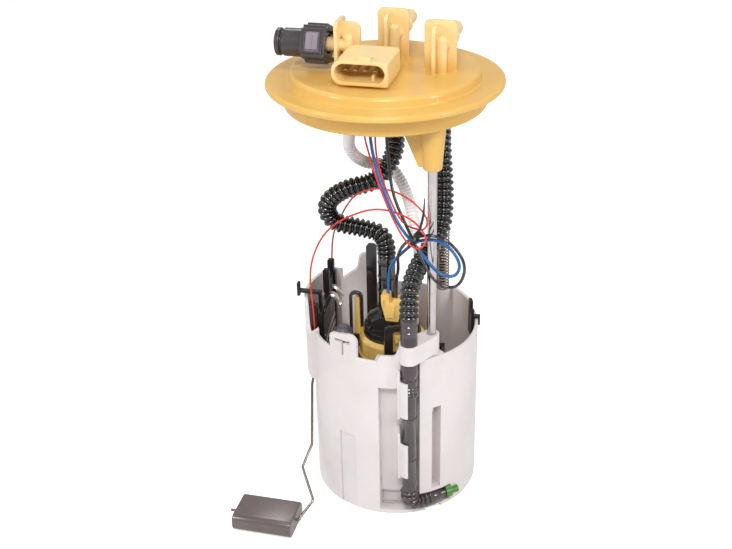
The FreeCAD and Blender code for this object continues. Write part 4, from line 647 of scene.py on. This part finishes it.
def makeTubeTree():
    # round tube along a line, with ribs, plain cuffs at its ends and rings on the cuffs
    tree, given, out = startTree("ribbedTube", [
        ("Line", "NodeSocketObject", None), ("Step", "NodeSocketFloat", 0.001),
        ("Root", "NodeSocketFloat", 0.005), ("Crest", "NodeSocketFloat", 0.006),
        ("Pitch", "NodeSocketFloat", 0.004), ("Cuff Start", "NodeSocketFloat", 0.0),
        ("Cuff End", "NodeSocketFloat", 0.0), ("Cuff Radius", "NodeSocketFloat", 0.006),
        ("Ring Step", "NodeSocketFloat", 0.01), ("Ring Height", "NodeSocketFloat", 0.0),
        ("Sides", "NodeSocketInt", 24), ("Finish", "NodeSocketMaterial", None)])
    source = addNode(tree, "GeometryNodeObjectInfo", "Geometry", {"Object": given.outputs["Line"]})
    even = addNode(tree, "GeometryNodeResampleCurve", "Curve", {
        "Curve": source, "Length": given.outputs["Step"]}, mode="LENGTH")
    along = addNode(tree, "GeometryNodeSplineParameter", "Length", {})
    whole = addNode(tree, "GeometryNodeSplineLength", "Length", {})
    turned = mathNode(tree, "MULTIPLY", along, math.pi)
    wave = mathNode(tree, "SINE", mathNode(tree, "DIVIDE", turned, given.outputs["Pitch"]))
    rib = mathNode(tree, "POWER", mathNode(tree, "ABSOLUTE", wave), tubeSet["ribPower"])
    rise = mathNode(tree, "SUBTRACT", given.outputs["Crest"], given.outputs["Root"])
    ribbed = mathNode(tree, "MULTIPLY_ADD", rib, rise, given.outputs["Root"])
    left = mathNode(tree, "SUBTRACT", whole, along)
    masks = []
    for value, label in ((along, "Cuff Start"), (left, "Cuff End")):
        past = mathNode(tree, "SUBTRACT", value, given.outputs[label])
        masks.append(spread(tree, past, -tubeSet["cuffBlend"], tubeSet["cuffBlend"]))
    mask = mathNode(tree, "MULTIPLY", masks[0], masks[1])
    turned = mathNode(tree, "MULTIPLY", left, 2 * math.pi)
    wave = mathNode(tree, "COSINE", mathNode(tree, "DIVIDE", turned, given.outputs["Ring Step"]))
    ring = mathNode(tree, "POWER", mathNode(tree, "MAXIMUM", wave, 0.0), tubeSet["ringPower"])
    cuff = mathNode(tree, "MULTIPLY_ADD", ring, given.outputs["Ring Height"],
                    given.outputs["Cuff Radius"])
    ribPart = mathNode(tree, "MULTIPLY", ribbed, mask)
    cuffPart = mathNode(tree, "MULTIPLY", cuff, mathNode(tree, "SUBTRACT", 1.0, mask))
    radius = mathNode(tree, "ADD", ribPart, cuffPart)
    circle = addNode(tree, "GeometryNodeCurvePrimitiveCircle", "Curve", {
        "Radius": 1.0, "Resolution": given.outputs["Sides"]})
    tube = addNode(tree, "GeometryNodeCurveToMesh", "Mesh", {
        "Curve": even, "Profile Curve": circle, "Scale": radius, "Fill Caps": True})
    endTree(tree, given, out, tube)
    return tree


def runTree(name, tree, values):
    # build the tree on an empty carrier, then keep its result as a plain mesh
    carrier = bpy.data.objects.new(name + "Carrier", bpy.data.meshes.new(name + "Carrier"))
    scene.collection.objects.link(carrier)
    modifier = carrier.modifiers.new("build", "NODES")
    modifier.node_group = tree
    for item in tree.interface.items_tree:
        if item.in_out == "INPUT" and item.name in values:
            modifier[item.identifier] = values[item.name]
    made = plainMesh(carrier)
    made.name = name
    carrier.modifiers.clear()
    bpy.data.objects.remove(carrier)
    piece = bpy.data.objects.new(name, made)
    scene.collection.objects.link(piece)
    return piece


tubeTree = makeTubeTree()


def makeTube(name, given, line):
    radius = given.get("diameter", 0.0) / 2
    given = {**tubeDefaults, "root": radius, "crest": radius, "cuffRadius": radius, **given}
    return runTree(name, tubeTree, {
        "Line": line, "Step": given["step"], "Root": given["root"], "Crest": given["crest"],
        "Pitch": given["pitch"], "Cuff Start": given["cuffStart"], "Cuff End": given["cuffEnd"],
        "Cuff Radius": given["cuffRadius"], "Ring Step": given["ringStep"],
        "Ring Height": given["ringHeight"], "Sides": given["sides"],
        "Finish": materials[given["finish"]]})


def makeCord(name, given):
    given = {**cordDefaults, **given}
    points = metres(given["points"])
    line = makeSpline(name + "Line", points)
    path = readLine(line)
    piece = makeTube(name, given, line)
    bpy.data.objects.remove(line)
    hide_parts(given["node"])
    stretchPiece(piece)


cords = {
    "feedHose": feedHose, "returnHose": returnHose, "ventHose": ventHose,
    "blackWire": blackWire, "blueWire": blueWire, "nearRedWire": nearRedWire,
    "farRedWire": farRedWire,
}
for name, given in cords.items():
    makeCord(name, given)
print("hoses and wires laid")

# Return spring round the rear rod

springSet = {
    "turns": 58.0, "coilRadius": 0.00445, "wireRadius": 0.00058, "low": 0.128, "high": 0.262,
    "rod": (0.024, 0.045),  # middle of the rear rod
    "perTurn": 28, "sides": 12,
}


def makeCoilTree():
    tree, given, out = startTree("coilSpring", [
        ("Turns", "NodeSocketFloat", 30.0), ("Coil Radius", "NodeSocketFloat", 0.005),
        ("Wire Radius", "NodeSocketFloat", 0.0006), ("Height", "NodeSocketFloat", 0.1),
        ("Place", "NodeSocketVector", None), ("Finish", "NodeSocketMaterial", None)])
    radius = given.outputs["Coil Radius"]
    spiral = addNode(tree, "GeometryNodeCurveSpiral", "Curve", {
        "Resolution": springSet["perTurn"], "Rotations": given.outputs["Turns"],
        "Start Radius": radius, "End Radius": radius, "Height": given.outputs["Height"]})
    circle = addNode(tree, "GeometryNodeCurvePrimitiveCircle", "Curve", {
        "Resolution": springSet["sides"], "Radius": given.outputs["Wire Radius"]})
    wire = addNode(tree, "GeometryNodeCurveToMesh", "Mesh", {
        "Curve": spiral, "Profile Curve": circle, "Fill Caps": True})
    moved = addNode(tree, "GeometryNodeTransform", "Geometry", {
        "Geometry": wire, "Translation": given.outputs["Place"]})
    endTree(tree, given, out, moved)
    return tree


def makeSpring():
    inner = springSet["wireRadius"]
    low, high = springSet["low"], springSet["high"]
    piece = runTree("returnCoil", makeCoilTree(), {
        "Turns": springSet["turns"], "Coil Radius": springSet["coilRadius"],
        "Wire Radius": inner, "Height": high - low - 2 * inner,
        "Place": (*springSet["rod"], low + inner), "Finish": materials["springSteel"]})
    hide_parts("return_spring")
    stretchPiece(piece)


makeSpring()
print("spring wound")

# Cable tie round the wires

tieSet = {
    "middle": (0.0242, -0.0465, 0.2098), "axis": (0.75, -0.25, -0.5), "radius": 0.00555,
    "thick": 0.0007, "wide": 0.0016, "teeth": 36, "toothDepth": 0.00008,
    # shares of the strap's thickness and half width, round its section
    "section": [(0, -1), (0.35, -1.0), (1, -0.78), (1, 0.78), (0.35, 1.0), (0, 1)],
    "head": (0.0034, 0.0028, 0.0026), "headLean": (0.35, 0.94), "headLift": 0.0012,
    "headBevel": 0.0005, "bevelSteps": 3, "bevelProfile": 0.7,
    "tail": 0.024, "tailSteps": 12, "tailRise": (0.06, 0.10, 1.0), "tailWidth": (1.0, -0.25, 0),
    "tailLift": 0.0008, "tailBow": 0.0012, "tailLean": 0.0022,
    "taperStart": 0.45, "taper": 0.72, "thinning": 0.35,
}


def addStrap(shape, middle, axis, side, above):
    # flat loop with fine teeth
    rings = []
    count = 2 * tieSet["teeth"]
    for index in range(count):
        angle = 2 * math.pi * index / count
        out = side * math.cos(angle) + above * math.sin(angle)
        thick = tieSet["thick"] - tieSet["toothDepth"] * (index % 2)
        ring = []
        for reach, across in tieSet["section"]:
            place = middle + out * (tieSet["radius"] + thick * reach)
            ring.append(shape.verts.new(place + axis * tieSet["wide"] / 2 * across))
        rings.append(ring)
    joinRings(shape, rings + rings[:1])


def addHead(shape, middle, axis, out):
    verts = bmesh.ops.create_cube(shape, size=1.0)["verts"]
    turned = Matrix((out.cross(axis).normalized(), axis, out)).transposed()
    for vert in verts:
        local = Vector(vert.co[i] * tieSet["head"][i] for i in range(3))
        vert.co = middle + turned @ local
    edges = {edge for vert in verts for edge in vert.link_edges}
    bmesh.ops.bevel(shape, geom=list(edges), offset=tieSet["headBevel"], affect="EDGES",
                    segments=tieSet["bevelSteps"], profile=tieSet["bevelProfile"])


def addTail(shape, start):
    # leaves the head upward, bowed a little, and narrows to its tip
    rise = Vector(tieSet["tailRise"]).normalized()
    width = Vector(tieSet["tailWidth"]).normalized()
    depth = rise.cross(width).normalized()
    rings = []
    for index in range(tieSet["tailSteps"] + 1):
        share = index / tieSet["tailSteps"]
        bow = math.sin(share * math.pi) * tieSet["tailBow"]
        place = start + rise * tieSet["tail"] * share + width * (bow + tieSet["tailLean"] * share)
        past = max(share - tieSet["taperStart"], 0) / (1 - tieSet["taperStart"])
        half = tieSet["wide"] / 2 * (1 - tieSet["taper"] * past)
        thin = tieSet["thick"] / 2 * (1 - tieSet["thinning"] * share)
        rings.append([shape.verts.new(place + width * half * a + depth * thin * b)
                      for a, b in ((-1, -1), (1, -1), (1, 1), (-1, 1))])
    joinRings(shape, rings)
    shape.faces.new(rings[0][::-1])
    shape.faces.new(rings[-1])


def makeTie():
    middle = Vector(tieSet["middle"])
    axis = Vector(tieSet["axis"]).normalized()
    side = axis.cross(Vector((0, 0, 1))).normalized()
    above = side.cross(axis).normalized()
    leanSide, leanAbove = tieSet["headLean"]
    headOut = (side * leanSide + above * leanAbove).normalized()
    headMiddle = middle + headOut * (tieSet["radius"] + tieSet["headLift"])
    shape = bmesh.new()
    addStrap(shape, middle, axis, side, above)
    addHead(shape, headMiddle, axis, headOut)
    addTail(shape, headMiddle + headOut * tieSet["tailLift"])
    bmesh.ops.recalc_face_normals(shape, faces=shape.faces)
    piece = shapePiece(shape, "wireTie", "tieBlack")
    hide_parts("wire_tie")
    stretchPiece(piece)


makeTie()
print("tie fastened")

# Contact leaves of the level sender

leafSet = {
    "thick": 0.00035, "curl": 0.0005, "facing": (0.3, -0.85, 0.45), "rounding": 2,
    "across": (-1.0, -0.6, 0.0, 0.6, 1.0),
    "leaves": [  # middle line (x, y, z) and width at each point, millimetres
        [(-46.0, 1.6, 143.6, 2.4), (-44.2, 1.6, 144.1, 3.0), (-42.4, 1.5, 143.7, 3.2),
         (-40.8, 1.3, 142.5, 2.6), (-39.4, 1.0, 141.0, 2.2), (-38.0, 0.8, 139.4, 2.6),
         (-37.0, 0.6, 138.3, 2.4), (-36.5, 0.5, 137.8, 1.2)],
        [(-46.0, -2.6, 139.6, 3.0), (-44.4, -2.6, 140.3, 3.8), (-42.6, -2.7, 139.8, 4.0),
         (-41.2, -2.8, 138.2, 3.4), (-40.2, -2.9, 136.4, 2.8), (-39.2, -3.0, 134.9, 3.6),
         (-38.2, -3.0, 134.0, 3.6), (-37.2, -3.0, 133.8, 1.8)],
    ],
}


def leafRows(shape, leaf, side):
    facing = Vector(leafSet["facing"])
    rows = []
    for index, (x, y, z, width) in enumerate(leaf):
        before = Vector(leaf[max(index - 1, 0)][:3])
        after = Vector(leaf[min(index + 1, len(leaf) - 1)][:3])
        wide = facing.cross(after - before).normalized()
        out = wide.cross(after - before).normalized()
        row = []
        for share in leafSet["across"]:
            place = (Vector((x, y, z)) + wide * share * width / 2) * mm
            lift = leafSet["curl"] * (share * share - 0.5) + leafSet["thick"] * side
            row.append(shape.verts.new(place - out * lift))
        rows.append(row)
    return rows


def addLeaf(shape, leaf):
    # thin bent sheet: two skins, closed along the sides and at both ends
    top, under = (leafRows(shape, leaf, side) for side in (0.5, -0.5))
    joinRings(shape, [upper + lower[::-1] for upper, lower in zip(top, under)])
    for end in (0, -1):
        upper, lower = top[end], under[end]
        for k in range(len(upper) - 1):
            shape.faces.new((upper[k], upper[k + 1], lower[k + 1], lower[k]))


def makeLeaves():
    shape = bmesh.new()
    for leaf in leafSet["leaves"]:
        addLeaf(shape, leaf)
    bmesh.ops.recalc_face_normals(shape, faces=shape.faces)
    piece = shapePiece(shape, "contactLeaves", "contactMetal")
    smooth = piece.modifiers.new("round", "SUBSURF")
    smooth.levels = smooth.render_levels = leafSet["rounding"]
    placePiece(piece, "sender_contacts", "reservoir")


makeLeaves()
print("contact leaves bent")

# Float: closed-cell slab with round long sides

floatSet = {  # millimetres
    "low": (-92.6, -99.7, 0.6), "high": (-50.6, -70.7, 13.0), "round": 4.6, "arc": 14,
    # how far each ring lies from the end, and how far inside the full section
    "ends": [(0.0, 0.9), (0.12, 0.45), (0.4, 0.14), (0.9, 0.0)],
}


def floatRing(shape, x, inset):
    low, high = Vector(floatSet["low"]), Vector(floatSet["high"])
    radius = floatSet["round"] - inset
    ring = []
    for corner, (towardY, towardZ) in enumerate(((1, 1), (-1, 1), (-1, -1), (1, -1))):
        midY = (high.y if towardY > 0 else low.y) - towardY * floatSet["round"]
        midZ = (high.z if towardZ > 0 else low.z) - towardZ * floatSet["round"]
        for step in range(floatSet["arc"] + 1):
            angle = math.pi / 2 * (corner + step / floatSet["arc"])
            place = (x, midY + radius * math.cos(angle), midZ + radius * math.sin(angle))
            ring.append(shape.verts.new(Vector(place) * mm))
    return ring


def makeFloat():
    low, high, ends = floatSet["low"][0], floatSet["high"][0], floatSet["ends"]
    stations = [(low + reach, inset) for reach, inset in ends]
    stations += [(high - reach, inset) for reach, inset in reversed(ends)]
    shape = bmesh.new()
    rings = [floatRing(shape, x, inset) for x, inset in stations]
    joinRings(shape, rings)
    caps = [shape.faces.new(rings[0]), shape.faces.new(rings[-1])]
    bmesh.ops.recalc_face_normals(shape, faces=shape.faces)
    for face in shape.faces:
        face.smooth = face not in caps
    placePiece(shapePiece(shape, "floatSlab", "floatFoam"), "level_float", "float")


makeFloat()
print("float shaped")

# Round metal and the jet fitting: merged copies of their solids with smooth sides

smoothSet = {
    "angle": 40, "merge": 0.000002,
    "pieces": [  # node, piece, body, finish
        ("float_arm", "armWire", "float_arm", "armSteel"),
        ("guide_rod_front", "frontRod", "flange", "rodSteel"),
        ("guide_rod_rear", "rearRod", "flange", "rodSteel"),
        ("jet_fitting", "jetNozzle", "reservoir", "jetGreen"),
    ],
}


def roundOff(shape, angle):
    # smooth sides, with sharp edges where they turn by more than the angle in degrees
    for edge in shape.edges:
        edge.smooth = edge.calc_face_angle(0) < math.radians(angle)


def makeSmooth(node, name, body, finish):
    shape = bmesh.new()
    shape.from_mesh(nodes[node].data)
    bmesh.ops.remove_doubles(shape, verts=shape.verts, dist=smoothSet["merge"])
    for face in shape.faces:
        face.smooth = True
        face.material_index = 0
    roundOff(shape, smoothSet["angle"])
    placePiece(shapePiece(shape, name, finish), node, body)


for given in smoothSet["pieces"]:
    makeSmooth(*given)
print("round pieces smoothed:", len(smoothSet["pieces"]))

# Lower return pipe: turned straight and sleeve, with a ribbed elbow between them

pipeSet = {  # millimetres, profiles as (height or distance, radius)
    "centre": (21.7, -53.3), "run": (0.76737, 0.64128, 0), "height": 9.3, "bend": 8.0,
    "sides": 48, "angle": 38,
    "straight": [
        (164, 3.4), (158.3, 3.4), (158.2, 5.2), (157.6, 5.6), (154.7, 5.65), (154.3, 5.3),
        (153.5, 5.3), (153.1, 5.65), (150.2, 5.65), (149.8, 5.3), (149.0, 5.3), (148.6, 5.65),
        (145.6, 5.6), (145.2, 5.2), (144.4, 5.2), (144.0, 5.45), (120.6, 5.45), (120, 5.7),
        (117.6, 5.9), (115, 5.75), (114.2, 5.35), (113.4, 5.3), (113.0, 5.6), (110.6, 5.65),
        (107.6, 5.5), (107.2, 5.15), (106.6, 5.15), (106.2, 5.5), (105.2, 5.5), (104.8, 5.15),
        (104.2, 5.15), (103.8, 5.5), (102.8, 5.5), (102.4, 5.15), (101.9, 5.2), (101.5, 5.75),
        (100.7, 6.1), (99.4, 6.05), (98.6, 5.5), (98.2, 4.95), (83.2, 4.9), (82.9, 4.6),
        (82.1, 4.6), (81.8, 5.1), (80.9, 5.1), (80.6, 4.9), (49.4, 4.9), (49.1, 4.6),
        (48.3, 4.6), (48.0, 5.1), (47.1, 5.1), (46.8, 4.9), (24, 4.9), (22.5, 5.3),
        (20.5, 4.4)],
    "sleeve": [
        (13.0, 4.2), (14.6, 4.6), (15.0, 5.5), (16.0, 5.6), (16.4, 5.0), (16.9, 4.9),
        (17.4, 5.2), (18.0, 4.6), (22.6, 4.4), (23.6, 4.1), (23.9, 2.9), (27.75, 2.9)],
}
elbowSet = {
    "finish": "pipeBlack", "step": 0.0003, "sides": 40, "root": 0.0038, "crest": 0.0062,
    "cuffRadius": 0.005, "pitch": 0.0039,
    # millimetres
    "top": 22.5, "end": 15.2, "pull": 1.5, "resolution": 24,
}
quarterPull = 0.5523  # handle length that turns a Bezier segment into a quarter circle


def turnedPiece(name, start, along, profile):
    # closed round piece turned from (distance, radius) pairs given in millimetres
    along = along.normalized()
    side = along.orthogonal().normalized()
    other = along.cross(side)
    shape = bmesh.new()
    rings = []
    for distance, radius in profile:
        ring = []
        for index in range(pipeSet["sides"]):
            angle = 2 * math.pi * index / pipeSet["sides"]
            out = side * math.cos(angle) + other * math.sin(angle)
            ring.append(shape.verts.new((start + along * distance + out * radius) * mm))
        rings.append(ring)
    joinRings(shape, rings)
    caps = [shape.faces.new(rings[0]), shape.faces.new(rings[-1])]
    bmesh.ops.recalc_face_normals(shape, faces=shape.faces)
    for face in shape.faces:
        face.smooth = face not in caps
    roundOff(shape, pipeSet["angle"])
    return shapePiece(shape, name, "pipeBlack")


def keepPipe(piece):
    placePiece(piece, "return_pipe", "reservoir")


def makeElbow():
    corner = Vector((*pipeSet["centre"], pipeSet["height"]))
    run, up = Vector(pipeSet["run"]), Vector((0, 0, 1))
    bend, pull = pipeSet["bend"], elbowSet["pull"]
    knots = [
        (corner + up * (elbowSet["top"] - corner.z), up, -up, pull),
        (corner + up * bend, up, -up, bend * quarterPull),
        (corner + run * bend, -run, run, bend * quarterPull),
        (corner + run * elbowSet["end"], -run, run, pull),
    ]
    line, spline = startLine("elbowLine", "BEZIER", len(knots), elbowSet["resolution"])
    for knot, (place, before, after, reach) in zip(spline.bezier_points, knots):
        knot.co = place * mm
        knot.handle_left = (place + before * reach) * mm
        knot.handle_right = (place + after * reach) * mm
    keepPipe(makeTube("pipeElbow", elbowSet, line))
    bpy.data.objects.remove(line)
    keepPipe(turnedPiece("pipeSleeve", corner, run, pipeSet["sleeve"]))


def makeStraight():
    top = pipeSet["straight"][0][0]
    profile = [(top - height, radius) for height, radius in pipeSet["straight"]]
    start = Vector((*pipeSet["centre"], top))
    keepPipe(turnedPiece("pipeStraight", start, Vector((0, 0, -1)), profile))


makeElbow()
makeStraight()
print("return pipe turned")

# Finish of each node that keeps its solid

nodeFinish = {
    "reservoir": "potWhite", "rim_clip": "senderBlack", "flange": "flangeCream",
    "connector_pins": "pinMetal", "rod_stop_clip": "springSteel", "float_keeper": "springSteel",
    "quick_connector_body": "couplingBlack", "quick_connector_seals": "sealRubber",
    "release_button_front": "couplingPad", "release_button_rear": "couplingPad",
    "inlet_valve": "sealRubber", "pump_can": "canSteel", "pump_magnets": "magnetGrey",
    "pump_rotor": "rotorSteel", "pump_impeller": "impellerPlastic",
    "pump_inlet_cover": "canCast", "pump_end_cap": "capBlack", "pump_carrier": "capBlack",
    "pump_ring": "ringYellow", "pump_plug": "ringYellow", "strainer": "strainerMesh",
    "pressure_regulator": "regulatorGrey", "sender_frame": "senderBlack",
    "arm_holder": "senderBlack", "sender_card": "cardCeramic", "contact_wiper": "contactMetal",
}
for name, finish in nodeFinish.items():
    for slot in nodes[name].material_slots:
        slot.material = materials[finish]
print("nodes finished:", len(nodeFinish))

# Floor, world and lamps

stageSet = {
    "floor": (236, 236, 236), "size": 12.0, "cells": 8, "rough": 0.8, "specular": 0.1,
    "aim": (0, 0, 0.17),  # where every lamp points
    # how bright the floor and the world are to the camera, to lamps and in reflections
    "lift": 0.55, "fill": 0.4, "mirrored": 0.24,
}
lamps = {
    "leftBox": {"place": (-0.90, -0.80, 0.78), "size": (0.22, 0.50), "power": 5.0},
    "frontBox": {"place": (0.16, -0.80, 1.05), "size": (0.34, 0.20), "power": 6.4},
    "rightBox": {"place": (1.00, -0.35, 0.70), "size": (0.14, 0.60), "power": 4.4},
    "topBox": {"place": (-0.10, -0.10, 1.20), "size": (0.22, 0.22), "power": 0.5},
    "backBox": {"place": (-0.35, 0.85, 1.15), "size": (0.40, 0.30), "power": 2.0},
}


def seenDirectly(tree):
    path = tree.nodes.new("ShaderNodeLightPath")
    mirrored = mathNode(tree, "MULTIPLY", path.outputs["Is Glossy Ray"], stageSet["mirrored"])
    either = mathNode(tree, "MAXIMUM", path.outputs["Is Camera Ray"], mirrored)
    return mathNode(tree, "MAXIMUM", either, path.outputs["Is Transmission Ray"])


def makeFloor():
    material = bpy.data.materials.new("paleFloor")
    material.use_nodes = True
    tree = material.node_tree
    shader = tree.nodes["Principled BSDF"]
    glow = mathNode(tree, "MULTIPLY", seenDirectly(tree), stageSet["lift"])
    for label, value in (("Base Color", tone(*stageSet["floor"])), ("Roughness", stageSet["rough"]),
                         ("Specular IOR Level", stageSet["specular"]),
                         ("Emission Color", (1, 1, 1, 1)), ("Emission Strength", glow)):
        feed(tree, shader.inputs[label], value)
    materials["paleFloor"] = material
    shape = bmesh.new()
    cells = stageSet["cells"]
    bmesh.ops.create_grid(shape, x_segments=cells, y_segments=cells, size=stageSet["size"] / 2)
    shapePiece(shape, "floorSheet", "paleFloor")


def makeWorld():
    world = bpy.data.worlds.new("paleRoom")
    world.use_nodes = True
    scene.world = world
    tree = world.node_tree
    background = tree.nodes["Background"]
    background.inputs["Color"].default_value = (1, 1, 1, 1)
    fill = stageSet["fill"]
    strength = mathNode(tree, "MULTIPLY_ADD", seenDirectly(tree), 1.0 - fill, fill)
    tree.links.new(strength, background.inputs["Strength"])


def makeLamps():
    for name, given in lamps.items():
        data = bpy.data.lights.new(name, "AREA")
        data.shape = "RECTANGLE"
        data.size, data.size_y = given["size"]
        data.energy = given["power"]
        lamp = bpy.data.objects.new(name, data)
        scene.collection.objects.link(lamp)
        place = Vector(given["place"])
        aim = Vector(stageSet["aim"]) - place
        turned = aim.to_track_quat("-Z", "Y").to_matrix().to_4x4()
        lamp.matrix_world = Matrix.Translation(place) @ turned


makeFloor()
makeWorld()
makeLamps()
print("stage set")
